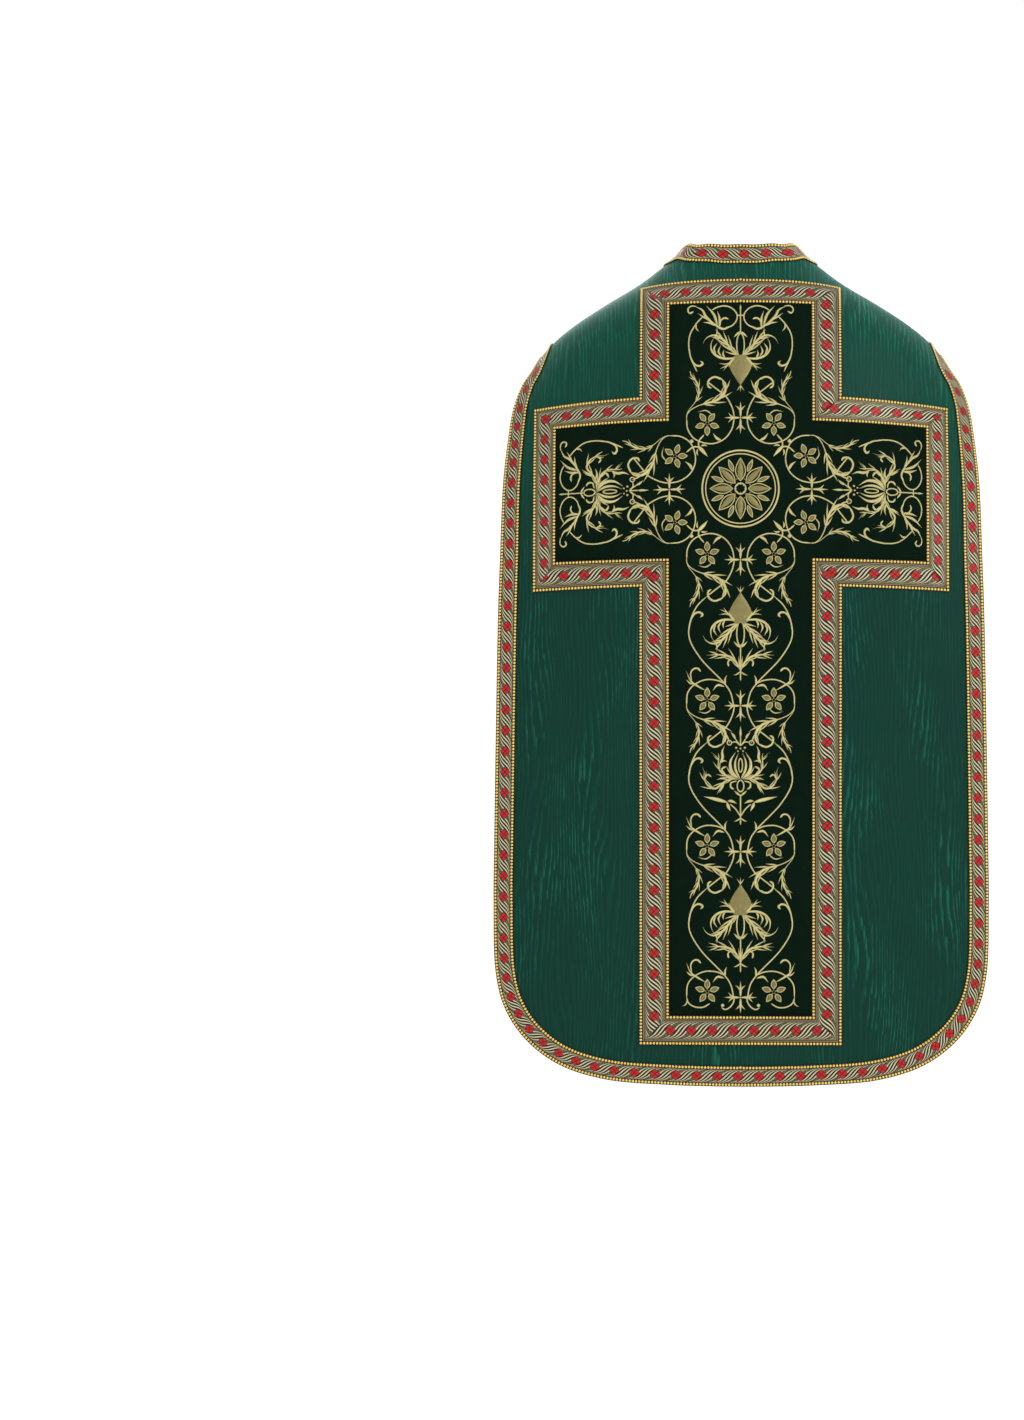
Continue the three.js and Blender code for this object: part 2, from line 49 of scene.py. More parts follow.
SHOULDER = [
    # x, height of the shoulder line
    (0, 68), (40, 56), (60, 41), (82, 15), (108, -6), (133, -25), (184, -56),
    (222, -81), (250, -104), (268, -126), (290, -146), (328, -184),
]
BODY = [
    # height, back depth, back wrap, front depth, front wrap
    (60, 52, 108, 52, 108), (24, 54, 108, 54, 108), (-2, 58, 109, 58, 109),
    (-30, 76, 110, 74, 110), (-60, 94, 111, 90, 111), (-130, 123, 117, 116, 118),
    (-200, 139, 117, 128, 122), (-300, 147, 76, 135, 110), (-464, 148, 46, 137, 60),
    (-700, 143, 36, 133, 32), (-900, 140, 31, 130, 20), (-1090, 138, 28, 128, 18),
]
FOLDS = [
    # side, x, height, lean in degrees, half length, half width, depth
    (BACK, -215, -130, 58, 90, 26, 2.2), (BACK, 205, -135, -56, 85, 28, 2.0),
    (BACK, -225, -640, 8, 190, 34, 2.4), (BACK, 240, -560, -6, 150, 30, 2.0),
    (BACK, 185, -880, -4, 130, 36, 2.2), (BACK, -205, -900, 5, 110, 30, 1.8),
    (FRONT, -165, -120, 52, 75, 22, 1.8), (FRONT, 150, -130, -50, 80, 24, 2.0),
    (FRONT, -220, -800, 6, 130, 30, 2.2), (FRONT, 225, -790, -7, 140, 32, 2.4),
]


def curve(rows, column):
    """A smooth line through rows of (t, value...) that never overshoots them."""
    t, v = np.array(sorted((row[0], row[column]) for row in rows), float).T
    step = np.diff(t)
    slope = np.diff(v) / step
    product = slope[:-1] * slope[1:]
    total = np.where(product > 0, slope[:-1] + slope[1:], 1.0)
    inner = np.where(product > 0, 2 * product / total, 0.0)
    tangent = np.concatenate([slope[:1], inner, slope[-1:]])

    def at(x):
        i = np.clip(np.searchsorted(t, x) - 1, 0, len(step) - 1)
        u = np.clip((x - t[i]) / step[i], 0, 1)
        keep = (1 + 2 * u) * (1 - u) ** 2
        bend = tangent[i] * u * (1 - u) ** 2 + tangent[i + 1] * u * u * (u - 1)
        return v[i] * keep + v[i + 1] * (1 - keep) + step[i] * bend

    return at


shoulder = curve(SHOULDER, 1)
depth = {BACK: curve(BODY, 1), FRONT: curve(BODY, 3)}
wrap = {BACK: curve(BODY, 2), FRONT: curve(BODY, 4)}
ROLL_RUN = ROLL * math.pi / 2


def height_at(x, run):
    """The height of a place. run is the length of cloth from the seam, back above zero."""
    run = np.abs(run)
    turned = np.minimum(run, ROLL_RUN) / ROLL
    return shoulder(np.abs(x)) - ROLL * (1 - np.cos(turned)) - np.maximum(run - ROLL_RUN, 0)


def run_at(x, z):
    """The length of cloth from the seam down to a height."""
    drop = np.maximum(shoulder(np.abs(x)) - z, 0)
    turned = np.arccos(np.clip(1 - drop / ROLL, -1, 1))
    return np.where(drop < ROLL, ROLL * turned, ROLL_RUN + drop - ROLL)


def hollow_at(side, x, z):
    """How deep the soft hollows of the cloth are at a place."""
    total = np.zeros(np.shape(x))
    for where, fold_x, fold_z, lean, half_length, half_width, deep in FOLDS:
        if where == side:
            turn = math.radians(lean)
            along = (x - fold_x) * math.sin(turn) + (z - fold_z) * math.cos(turn)
            across = (x - fold_x) * math.cos(turn) - (z - fold_z) * math.sin(turn)
            shape = np.exp(-((along / half_length) ** 2) - (across / half_width) ** 2)
            total = total + deep * shape
    return total


def hang(x, run):
    """Points of the silk's outer face, in millimetres."""
    z = height_at(x, run)
    out = np.zeros(np.shape(x))
    for side in (BACK, FRONT):
        bent = wrap[side](z) * (np.abs(x) / HALF_SPAN) ** 3
        here = depth[side](z) - bent - hollow_at(side, x, z)
        out = np.where(np.sign(run) == side, side * here, out)
    turned = np.sin(np.minimum(np.abs(run), ROLL_RUN) / ROLL)
    return np.stack([x + 0 * run, out * turned, z], axis=-1)


def unit(vectors):
    """Vectors brought to length one."""
    return vectors / np.linalg.norm(vectors, axis=-1, keepdims=True)


def directions(x, run, step=0.5):
    """Along x, along the run, and outwards, at each place."""
    across = (hang(x + step, run) - hang(x - step, run)) / (2 * step)
    down = (hang(x, run + step) - hang(x, run - step)) / (2 * step)
    return across, down, unit(np.cross(across, down))


def raised(places, height):
    """Points above places by a height in millimetres, in metres."""
    x, run = places[..., 0], places[..., 1]
    normal = directions(x, run)[2]
    return (hang(x, run) + normal * np.asarray(height)[..., None]) * MM


def spline(points, per=12):
    """A smooth line through a few points, by centripetal Catmull-Rom."""
    p = np.array(points, float)
    p = np.vstack([2 * p[0] - p[1], p, 2 * p[-1] - p[-2]])
    line = []
    for a, b, c, d in zip(p, p[1:], p[2:], p[3:]):
        t1 = max(np.linalg.norm(b - a) ** 0.5, 1e-6)
        t2 = t1 + max(np.linalg.norm(c - b) ** 0.5, 1e-6)
        t3 = t2 + max(np.linalg.norm(d - c) ** 0.5, 1e-6)
        t = np.linspace(t1, t2, per, endpoint=False)[:, None]
        ab = a + (b - a) * t / t1
        bc = b + (c - b) * (t - t1) / (t2 - t1)
        cd = c + (d - c) * (t - t2) / (t3 - t2)
        abc = ab + (bc - ab) * t / t2
        bcd = bc + (cd - bc) * (t - t1) / (t3 - t1)
        line.append(abc + (bcd - abc) * (t - t1) / (t2 - t1))
    return np.vstack(line + [p[-2:-1]])


def travelled(points):
    """The length gone at each point of a line."""
    return np.concatenate([[0], np.cumsum(np.linalg.norm(np.diff(points, axis=0), axis=1))])


def spaced(line, count, measure=None):
    """A line at even steps, measured in space or along its own numbers."""
    length = travelled(line if measure is None else measure(line))
    at = np.linspace(0, length[-1], count)
    return np.stack([np.interp(at, length, line[:, k]) for k in range(line.shape[1])], axis=1)


def in_space(line):
    return hang(line[:, 0], line[:, 1])


def outline(side, table, seam_end):
    """Places along a panel's edge, from the seam to the middle of the hem."""
    start = (seam_end, float(height_at(np.array(seam_end), np.array(SEAM))))
    steps = 24
    line = spline([start, *table, (-table[-2][0], table[-2][1])], per=steps)
    line = line[: steps * len(table) + 1]
    run = np.maximum(run_at(line[:, 0], line[:, 1]), SEAM)
    run[0] = SEAM
    return np.stack([line[:, 0], side * run], axis=1)


def patch(top, bottom, left, right):
    """Places inside four edges (Coons)."""
    s = np.linspace(0, 1, len(top))[None, :, None]
    t = np.linspace(0, 1, len(left))[:, None, None]
    sides = left[:, None] * (1 - s) + right[:, None] * s
    ends = top[None] * (1 - t) + bottom[None] * t
    upper = top[0] * (1 - s) + top[-1] * s
    lower = bottom[0] * (1 - s) + bottom[-1] * s
    return sides + ends - (upper * (1 - t) + lower * t)


def mirrored(grid):
    return grid[:, ::-1] * np.array([-1.0, 1.0])


def facing_out(faces, points, normal):
    """The faces, each turned to look along its first point's normal."""
    one = points[faces[:, 2]] - points[faces[:, 0]]
    two = points[faces[:, 3]] - points[faces[:, 1]]
    wrong = (np.cross(one, two) * normal[faces[:, 0]]).sum(axis=1) < 0
    faces[wrong] = faces[wrong][:, ::-1]
    return faces


def grid_faces(rows, columns, start=0):
    """Four-sided faces over a grid of numbered points."""
    number = start + np.arange(rows * columns).reshape(rows, columns)
    quads = [number[:-1, :-1], number[:-1, 1:], number[1:, 1:], number[1:, :-1]]
    return np.stack(quads, axis=-1).reshape(-1, 4)


def new_piece(name, points, faces, smooth, uv=None):
    """A named mesh object. uv gives each point its place in the cut, in millimetres."""
    mesh = bpy.data.meshes.new(name)
    mesh.from_pydata(points.tolist(), [], faces)
    if uv is not None:
        layer = mesh.uv_layers.new(name="cut")
        corner = np.zeros(len(mesh.loops), np.int32)
        mesh.loops.foreach_get("vertex_index", corner)
        layer.data.foreach_set("uv", (uv[corner] * MM).ravel())
    mesh.polygons.foreach_set("use_smooth", smooth)
    mesh.update()
    piece = bpy.data.objects.new(name, mesh)
    bpy.context.scene.collection.objects.link(piece)
    return piece


def cloth_wall(name, grids, low, high, uvs=None):
    """A closed thin wall over grids of places, between two heights above the silk."""
    places, faces, uv = [], [], []
    start = 0
    for k, grid in enumerate(grids):
        rows, columns = grid.shape[:2]
        faces.append(grid_faces(rows, columns, start))
        places.append(grid.reshape(-1, 2))
        uv.append((grid if uvs is None else uvs[k]).reshape(-1, 2))
        start += rows * columns
    places, faces, uv = np.vstack(places), np.vstack(faces), np.vstack(uv)
    keys = np.round(np.column_stack([places, uv]), 3)
    _, first, index = np.unique(keys, axis=0, return_index=True, return_inverse=True)
    faces = index.reshape(-1)[faces]
    places, uv = places[first], uv[first]
    x, run = places[:, 0], places[:, 1]
    faces = facing_out(faces, hang(x, run), directions(x, run)[2])
    count = len(places)
    points = np.vstack([raised(places, np.full(count, level)) for level in (high, low)])
    edges = np.vstack([faces[:, [k, (k + 1) % 4]] for k in range(4)])
    forward = {tuple(e) for e in edges.tolist()}
    rim = np.array([e for e in forward if (e[1], e[0]) not in forward], int).reshape(-1, 2)
    rim_faces = np.column_stack([rim[:, 0] + count, rim[:, 1] + count, rim[:, 1], rim[:, 0]])
    every = np.vstack([faces, faces[:, ::-1] + count, rim_faces]).tolist()
    smooth = [True] * (2 * len(faces)) + [False] * len(rim_faces)
    piece = new_piece(name, points, every, smooth, np.vstack([uv, uv]))
    return piece, len(faces)


def colour(code):
    """An sRGB hex colour as linear values."""
    parts = [int(code[k : k + 2], 16) / 255 for k in (1, 3, 5)]
    return [c / 12.92 if c <= 0.04045 else ((c + 0.055) / 1.055) ** 2.4 for c in parts] + [1.0]


def node(tree, kind, settings=(), links=()):
    """Adds a node. settings name an attribute or an input's value, links an input's source."""
    made = tree.nodes.new(kind)
    for key, value in dict(settings).items():
        if isinstance(key, str) and hasattr(made, key):
            setattr(made, key, value)
        else:
            made.inputs[key].default_value = value
    for key, source in dict(links).items():
        tree.links.new(source, made.inputs[key])
    return made


class Term:
    """A number that a material works out at each place. It adds, multiplies and so on."""

    def __init__(self, tree, socket):
        self.tree = tree
        self.socket = socket

    def math(self, operation, *others):
        """One Math node on this term and others, each a term or a plain number."""
        made = node(self.tree, "ShaderNodeMath", {"operation": operation})
        for k, other in enumerate((self, *others)):
            if isinstance(other, Term):
                self.tree.links.new(other.socket, made.inputs[k])
            else:
                made.inputs[k].default_value = other
        return Term(self.tree, made.outputs[0])

    def __add__(self, other):
        return self.math("ADD", other)

    def __sub__(self, other):
        return self.math("SUBTRACT", other)

    def __mul__(self, other):
        return self.math("MULTIPLY", other)

    def __truediv__(self, other):
        return self.math("DIVIDE", other)

    def __abs__(self):
        return self.math("ABSOLUTE")

    def wave(self, length):
        """A sine with one swell to each length."""
        return (self * (2 * math.pi / length)).math("SINE")

    def ramp(self, low, high):
        """Nought up to low and one from high on, smooth between."""
        settings = {"interpolation_type": "SMOOTHSTEP", 1: low, 2: high}
        made = node(self.tree, "ShaderNodeMapRange", settings, {0: self.socket})
        return Term(self.tree, made.outputs[0])


def blend(factor, low, high):
    """A colour between two, each a hex code or a colour blended before."""
    made = node(factor.tree, "ShaderNodeMix", {"data_type": "RGBA"}, {0: factor.socket})
    for key, term in ((6, low), (7, high)):
        if isinstance(term, str):
            made.inputs[key].default_value = colour(term)
        else:
            factor.tree.links.new(term, made.inputs[key])
    return made.outputs[2]


def new_material(name, **sockets):
    """A material with its shader's own values, and its tree."""
    material = bpy.data.materials.new(name)
    material.use_nodes = True
    shader = material.node_tree.nodes["Principled BSDF"]
    for key, value in sockets.items():
        shader.inputs[key.replace("_", " ")].default_value = value
    return material, material.node_tree, shader


def uv_lines(tree):
    """The cut's own lengths, in millimetres: across and along."""
    uv = node(tree, "ShaderNodeUVMap", {"uv_map": "cut"})
    split = node(tree, "ShaderNodeSeparateXYZ", (), {0: uv.outputs[0]})
    return [Term(tree, split.outputs[k]) / MM for k in (0, 1)]


def noise(across, along, per_across, per_along, detail, seed):
    """Soft noise drawn out along the cut, with so many swells a millimetre each way."""
    tree = across.tree
    place = node(tree, "ShaderNodeCombineXYZ")
    tree.links.new((across * per_across).socket, place.inputs[0])
    tree.links.new((along * per_along).socket, place.inputs[1])
    settings = {"noise_dimensions": "4D", "Scale": 1.0, "Detail": detail, "W": seed}
    made = node(tree, "ShaderNodeTexNoise", settings, {"Vector": place.outputs[0]})
    return Term(tree, made.outputs[0])


def finish_shader(shader, face, height=None, strength=0.0, distance=0.0):
    """Gives a shader its colour and, with a height, fine relief."""
    tree = shader.id_data
    tree.links.new(face, shader.inputs["Base Color"])
    if height is not None:
        settings = {"Strength": strength, "Distance": distance}
        relief = node(tree, "ShaderNodeBump", settings, {"Height": height.socket})
        tree.links.new(relief.outputs[0], shader.inputs["Normal"])


# Moire silk: a green ground with a low sheen, whose watering shows as fine lighter lines up
# the cloth like the grain of wood, strong in some patches. Near the shoulders' turn the lines
# are painted stronger and the colour lighter, a painted highlight where the shoulder's top
# catches the light.
MOIRE_GROUND, MOIRE_PALE_AND_HIGHLIGHT, MOIRE_DARK = "#082f25", "#1a6c59", "#07271e"
MOIRE_SPACING, MOIRE_SWIRL, MOIRE_WAVER = 5.4, 13.0, 1.4
# the amounts for the shoulders' turn and the shoulders set painted highlight, not watering
MOIRE_PATCH, TURN_HIGHLIGHT, MOIRE_FAINT, MOIRE_SHADE = 0.4, 0.5, 0.05, 0.25
TURN_REACH, SHOULDER_REACH, SHOULDER_HIGHLIGHT = 150.0, 300.0, 0.12
SILK_RIB = 0.55
moire, tree, shader = new_material(
    "green moire silk",
    Roughness=0.5,
    Specular_IOR_Level=0.06,
    Sheen_Weight=0.32,
    Sheen_Roughness=0.4,
)
shader.inputs["Sheen Tint"].default_value = colour("#4fae94")
across, along = uv_lines(tree)
field = noise(across, along, 0.015, 0.003, detail=1.5, seed=4.0)
fine = noise(across, along, 0.35, 0.03, detail=2.0, seed=1.0)
patches = noise(across, along, 0.012, 0.006, detail=2.0, seed=3.0)
contour = across / MOIRE_SPACING + (field * MOIRE_SWIRL + fine * MOIRE_WAVER)
grain = contour.wave(1.0)
from_seam = abs(along)
# painted highlight: the watering's lines are painted stronger near the seam, where the shoulder
# turns
patch_and_turn_highlight = patches.ramp(0.45, 0.64) * MOIRE_PATCH + from_seam.ramp(TURN_REACH, 30.0) * TURN_HIGHLIGHT
lines = grain.ramp(0.25, 0.95) * fine.ramp(0.35, 0.6) * (patch_and_turn_highlight + MOIRE_FAINT)
# painted highlight: the colour is painted lighter towards the shoulders, on top of the watering's
# lines
light = from_seam.ramp(SHOULDER_REACH, 60.0) * SHOULDER_HIGHLIGHT + lines
ground = blend(grain.ramp(0.2, -0.8) * MOIRE_SHADE, MOIRE_GROUND, MOIRE_DARK)
finish_shader(shader, blend(light, ground, MOIRE_PALE_AND_HIGHLIGHT), along.wave(SILK_RIB), 0.08, 0.00006)

BACK_SEAM_END = 268.0
BACK_OUTLINE = [
    # x, z
    (280, -148), (290, -163), (302, -197), (309, -244), (314, -303), (317, -400),
    (319, -464), (322, -626), (324, -760), (325, -853), (322, -944), (310, -990),
    (283, -1030), (240, -1062), (180, -1081), (95, -1088), (0, -1090),
]
BACK_CORNER_Z = -1026
NECK_HALF, NECK_BACK_Z = 82.0, 22.0
neck_back = np.array([(x, NECK_BACK_Z) for x in (0, 29, 56, 75)], float)
neck_back = np.column_stack([neck_back[:, 0], run_at(neck_back[:, 0], neck_back[:, 1])])
neck_back = spline([*neck_back, (NECK_HALF, SEAM)])
back_edge = outline(BACK, BACK_OUTLINE, BACK_SEAM_END)
corner = int(np.argmax(height_at(back_edge[:, 0], back_edge[:, 1]) <= BACK_CORNER_Z))
seam_line = np.array([(NECK_HALF, SEAM), (BACK_SEAM_END, SEAM)])
COLUMNS, ROWS = 64, 150
back_top = np.vstack([spaced(neck_back, 22, in_space), spaced(seam_line, 43)[1:]])
back_foot = spaced(back_edge[corner:][::-1], COLUMNS, in_space)
back_middle = np.array([back_top[0], back_foot[0]])
back_half = patch(
    back_top,
    back_foot,
    spaced(back_middle, ROWS),
    spaced(back_edge[: corner + 1], ROWS, in_space),
)
back_panel, _ = cloth_wall("silk_back", [back_half, mirrored(back_half)], -SILK, 0.0)
back_panel.data.materials.append(moire)
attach(back_panel, "root")
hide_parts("back_panel")

# The back's lining. Plain dark green cloth felled to the back inside its braid, which
# shows where the flap stands out behind the shoulder.
LINING, GAP = 1.0, 0.3
LINING_DARK, LINING_PALE = "#08261b", "#0c3023"
lining_cloth, tree, shader = new_material(
    "plain green lining", Roughness=0.8, Specular_IOR_Level=0.1
)
across, along = uv_lines(tree)
threads = noise(across, along, 0.9, 0.12, detail=2.0, seed=6.0)
finish_shader(shader, blend(threads, LINING_DARK, LINING_PALE))
lining_half = back_half[::2]
lining_face = -SILK - GAP
back_lining, _ = cloth_wall(
    "lining_back", [lining_half, mirrored(lining_half)], lining_face - LINING, lining_face
)
back_lining.data.materials.append(lining_cloth)
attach(back_lining, "root")
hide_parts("back_lining")

# The front. The same silk, cut narrow across the chest between deep armhole curves, with a
# straight-sided neck that ends at the bar of braid. Its inner face is lined like the back.
FRONT_OUTLINE = [
    # x, z
    (246, -128), (232, -143), (218, -165), (209, -190), (204, -213), (200, -250),
    (198, -290), (202, -345), (212, -410), (230, -480), (256, -555), (277, -610),
    (287, -650), (295, -730), (297, -800), (295, -860), (286, -925), (266, -963),
    (228, -995), (187, -1009), (120, -1014), (0, -1016),
]
FRONT_CORNER_Z = -944
NECK_FOOT_HALF, NECK_FOOT_Z = 41.5, -211.0
BAR_DROOP, BAR_REACH = 9.0, 180.0


def drooping(z, droop, reach):
    """A level line that hangs lower by a droop where it is at its reach."""
    return lambda x: z - droop * (x / reach) ** 2


def front_places(points):
    """Places on the front at points given by x and height."""
    return np.column_stack([points[:, 0], -run_at(points[:, 0], points[:, 1])])


front_edge = outline(FRONT, FRONT_OUTLINE, BACK_SEAM_END)
front_heights = height_at(front_edge[:, 0], front_edge[:, 1])
front_corner = int(np.argmax(front_heights <= FRONT_CORNER_Z))
BAR_TOP = drooping(NECK_FOOT_Z, BAR_DROOP, BAR_REACH)
chest = int(np.argmax(front_heights <= BAR_TOP(200)))
t = np.linspace(0, 1, 60)
neck_x = NECK_HALF + (NECK_FOOT_HALF - NECK_HALF) * t
neck_top = float(shoulder(NECK_HALF))
neck_front = front_places(np.column_stack([neck_x, neck_top + (NECK_FOOT_Z - neck_top) * t]))
neck_front[0] = (NECK_HALF, -SEAM)
x = np.linspace(NECK_FOOT_HALF, front_edge[chest, 0], 44)
strap_foot = front_places(np.column_stack([x, BAR_TOP(x)]))
strap_foot[0], strap_foot[-1] = neck_front[-1], front_edge[chest]
strap = patch(
    spaced(seam_line * (1, -1), 44),
    strap_foot,
    spaced(neck_front, 56, in_space),
    spaced(front_edge[: chest + 1], 56, in_space),
)
x = np.linspace(0, NECK_FOOT_HALF, 10)
chest_middle = front_places(np.column_stack([x, BAR_TOP(x)]))
low_top = np.vstack([chest_middle[:-1], strap_foot])
low_foot = spaced(front_edge[front_corner:][::-1], len(low_top), in_space)
front_low = patch(
    low_top,
    low_foot,
    spaced(np.array([low_top[0], low_foot[0]]), 110),
    spaced(front_edge[chest : front_corner + 1], 110, in_space),
)
front_panel, outer_faces = cloth_wall(
    "silk_front", [strap, mirrored(strap), front_low, mirrored(front_low)], -SILK, 0.0
)
front_panel.data.materials.append(moire)
front_panel.data.materials.append(lining_cloth)
for k, face in enumerate(front_panel.data.polygons):
    face.material_index = 1 if outer_faces <= k < 2 * outer_faces else 0
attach(front_panel, "root")
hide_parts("front_panel")

# The velvet cross on the back. Near-black green cotton velvet, laid flat on the silk with
# its edges under the wide braid.
TRIM = 1.2
VELVET_TOP = GAP + TRIM * 0.7
CROSS_CENTRE_Z = -307.0
VELVET_HALF, WIDE = 93.0, 40.0
FRAME_HALF = VELVET_HALF + WIDE
ARM_IN, ARM_OUT = 243.0, 273.0
TOP_OUT = drooping(-26, 10, FRAME_HALF)
TOP_IN = drooping(-60, 4, FRAME_HALF)
ARM_TOP_OUT = drooping(-182, 16, ARM_OUT)
ARM_TOP_IN = drooping(-217, 11, ARM_OUT)
ARM_LOW_IN = drooping(-397, 6, ARM_OUT)
ARM_LOW_OUT = drooping(-434, 8, ARM_OUT)
FOOT_IN = drooping(-997, 0, ARM_OUT)
FOOT_OUT = drooping(-1036, 0, ARM_OUT)
CROSS_FIELDS = [
    # upper line, lower line, x from, x to, columns, rows
    (TOP_IN, ARM_TOP_IN, -VELVET_HALF, VELVET_HALF, 32, 30),
    (ARM_TOP_IN, ARM_LOW_IN, -VELVET_HALF, VELVET_HALF, 32, 26),
    (ARM_LOW_IN, FOOT_IN, -VELVET_HALF, VELVET_HALF, 32, 70),
    (ARM_TOP_IN, ARM_LOW_IN, VELVET_HALF, ARM_IN, 26, 26),
    (ARM_TOP_IN, ARM_LOW_IN, -ARM_IN, -VELVET_HALF, 26, 26),
]
PILE_DARK, PILE_PALE = "#030d07", "#06180e"
velvet, tree, shader = new_material(
    "near-black green velvet",
    Roughness=0.95,
    Sheen_Weight=0.06,
    Sheen_Roughness=0.45,
    Specular_IOR_Level=0.05,
)
shader.inputs["Sheen Tint"].default_value = colour("#2c5a44")
across, along = uv_lines(tree)
pile = noise(across, along, 0.05, 0.03, detail=4.0, seed=8.0)
finish_shader(shader, blend(pile, PILE_DARK, PILE_PALE))


def rows_grid(side, upper, lower, x0, x1, columns, rows):
    """Places between two level lines, from x0 to x1."""
    x = np.linspace(x0, x1, columns)[None, :] * np.ones((rows, 1))
    t = np.linspace(0, 1, rows)[:, None]
    z = upper(x) * (1 - t) + lower(x) * t
    return np.stack([x, side * run_at(x, z)], axis=-1)


fields = [rows_grid(BACK, *field) for field in CROSS_FIELDS]
cross_velvet, _ = cloth_wall("velvet_cross", fields, GAP, VELVET_TOP)
cross_velvet.data.materials.append(velvet)
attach(cross_velvet, "root")
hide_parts("orphrey_back")

# The column on the front. The same velvet, a straight strip laid on the silk from the bar of
# braid down to the hem's braid, with its long edges under wide braid.
COLUMN_FOOT_Z = -987.0
BAR_LOW = drooping(NECK_FOOT_Z - WIDE - 2, BAR_DROOP, BAR_REACH)
COLUMN_FOOT = drooping(COLUMN_FOOT_Z, 0, BAR_REACH)
strip = rows_grid(FRONT, BAR_LOW, COLUMN_FOOT, -VELVET_HALF, VELVET_HALF, 32, 90)
column_velvet, _ = cloth_wall("velvet_column", [strip], GAP, VELVET_TOP)
column_velvet.data.materials.append(velvet)
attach(column_velvet, "root")
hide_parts("orphrey_front")

# The braids. Woven silver-gold braid with red lozenges of four small diamonds between
# S-shaped bands of strands, and a row of gold rope beads along each edge. The narrow one
# is sewn flat round the panels and the neck, the wide one round the velvet.
NARROW = 27.0
PITCH = 27.4
LOZENGE_LONG, LOZENGE_WIDE = 6.9, 6.6
BAND_TURN, BAND_REACH = 1.15, 0.25
STRANDS = 5.0
BORDER_LINE = 2.0
WEAVE_GROUND, WEAVE_GAP, WEAVE_FLECK = "#2c2517", "#080502", "#837b58"
STRAND, LOZENGE_EDGE, LOZENGE_RED = "#b5ae8b", "#200b05", "#a90a0a"
BORDER_DARK, BORDER_PALE, UNDER_BEADS = "#0f0703", "#7d724f", "#120b04"


def from_half(term):
    """How far a term is from the middle of its whole step."""
    return abs(term.math("FRACT") - 0.5)


def braid_material(name, width, ground_half):
    """The weave, on the lengths along the braid and across it from its outer edge."""
    material, tree, shader = new_material(
        name, Roughness=0.45, Metallic=0.2, Specular_IOR_Level=0.3
    )
    u, v = uv_lines(tree)
    side = v - width / 2
    edge = abs(side) * -1.0 + width / 2
    out = side / ground_half
    repeat = u / PITCH
    near = (repeat.math("FRACT") - 0.5) * PITCH / LOZENGE_LONG
    rising = abs(near + side / LOZENGE_WIDE)
    falling = abs(near - side / LOZENGE_WIDE)
    far = rising.math("MAXIMUM", falling)
    split = rising.math("MINIMUM", falling)
    lozenge = far.ramp(1.16, 1.08)
    red = far.ramp(1.02, 0.95) * split.ramp(0.06, 0.15)
    swept = repeat - (out * BAND_TURN).math("TANGENT") * BAND_REACH
    banded = from_half(swept).ramp(0.13, 0.19)
    strands = from_half(swept * STRANDS).ramp(0.28, 0.14) * banded
    flecks = noise(u, v, 0.9, 0.9, detail=2.0, seed=3.0).ramp(0.5, 0.62)
    weave = blend(banded, WEAVE_GROUND, WEAVE_GAP)
    weave = blend(flecks * (banded * -1.0 + 1.0), weave, WEAVE_FLECK)
    weave = blend(strands, weave, STRAND)
    weave = blend(lozenge, weave, LOZENGE_EDGE)
    weave = blend(red, weave, LOZENGE_RED)
    lines = from_half(edge / BORDER_LINE).ramp(0.24, 0.32)
    border = blend(lines, BORDER_DARK, BORDER_PALE)
    border = blend(edge.ramp(4.6, 4.3), border, UNDER_BEADS)
    inside = abs(out).ramp(1.03, 0.98)
    lift = (strands * inside).math("MAXIMUM", lozenge)
    finish_shader(shader, blend(inside, border, weave), lift, 0.7, 0.0005)
    return material


narrow_weave = braid_material("narrow braid weave", NARROW, 8.3)
wide_weave = braid_material("wide braid weave", WIDE, 11.0)
# Rope beads: twisted gold cord, bright on top of each turn.
rope_gold, _, shader = new_material(
    "gold rope beads", Roughness=0.34, Metallic=0.6, Specular_IOR_Level=0.5
)
shader.inputs["Base Color"].default_value = colour("#d2b25c")
BEAD_ROW, BEAD_BED, WEAVE_FROM = 2.5, 4.6, 7
BEAD_COLUMNS = (2, -3)
BEAD_STEP, BEAD_LONG, BEAD_WIDE, BEAD_HIGH = 4.2, 1.9, 1.95, 1.6
BEAD_SUNK = 0.35
BEAD_RINGS = [
    # radius, height, as parts of a bead's own
    (1.0, 0.0),
    (0.82, 0.62),
]
BRAID_STEP = 4.0


def braid_offsets(width):
    """Distances across a braid from its outer edge. The third from each edge is a bead row."""
    near = [0, 0.5, BEAD_ROW, BEAD_BED]
    middle = np.linspace(WEAVE_FROM, width - WEAVE_FROM, 7)
    return np.array([*near, *middle, *(width - d for d in near[::-1])])


def braid_grid(edge, width, turn):
    """Places across a braid, from an edge line inwards, and its lengths."""
    around = in_space(edge)
    along = unit(np.gradient(around, axis=0))
    offsets = braid_offsets(width)
    here, columns = edge.copy(), [edge.copy()]
    for step in np.diff(offsets):
        for _ in range(2):
            x_way, run_way, normal = directions(here[:, 0], here[:, 1])
            inward = unit(np.cross(normal, along) * turn)
            uu, uv, vv = (x_way**2).sum(1), (x_way * run_way).sum(1), (run_way**2).sum(1)
            du, dv = (inward * x_way).sum(1), (inward * run_way).sum(1)
            moved = np.stack([du * vv - dv * uv, dv * uu - du * uv], axis=1)
            here = here + moved * (step / 2 / (uu * vv - uv * uv))[:, None]
        columns.append(here.copy())
    length = travelled(around)[:, None]
    uv = np.stack([length + 0 * offsets[None], offsets[None] + 0 * length], axis=-1)
    return np.stack(columns, axis=1), uv


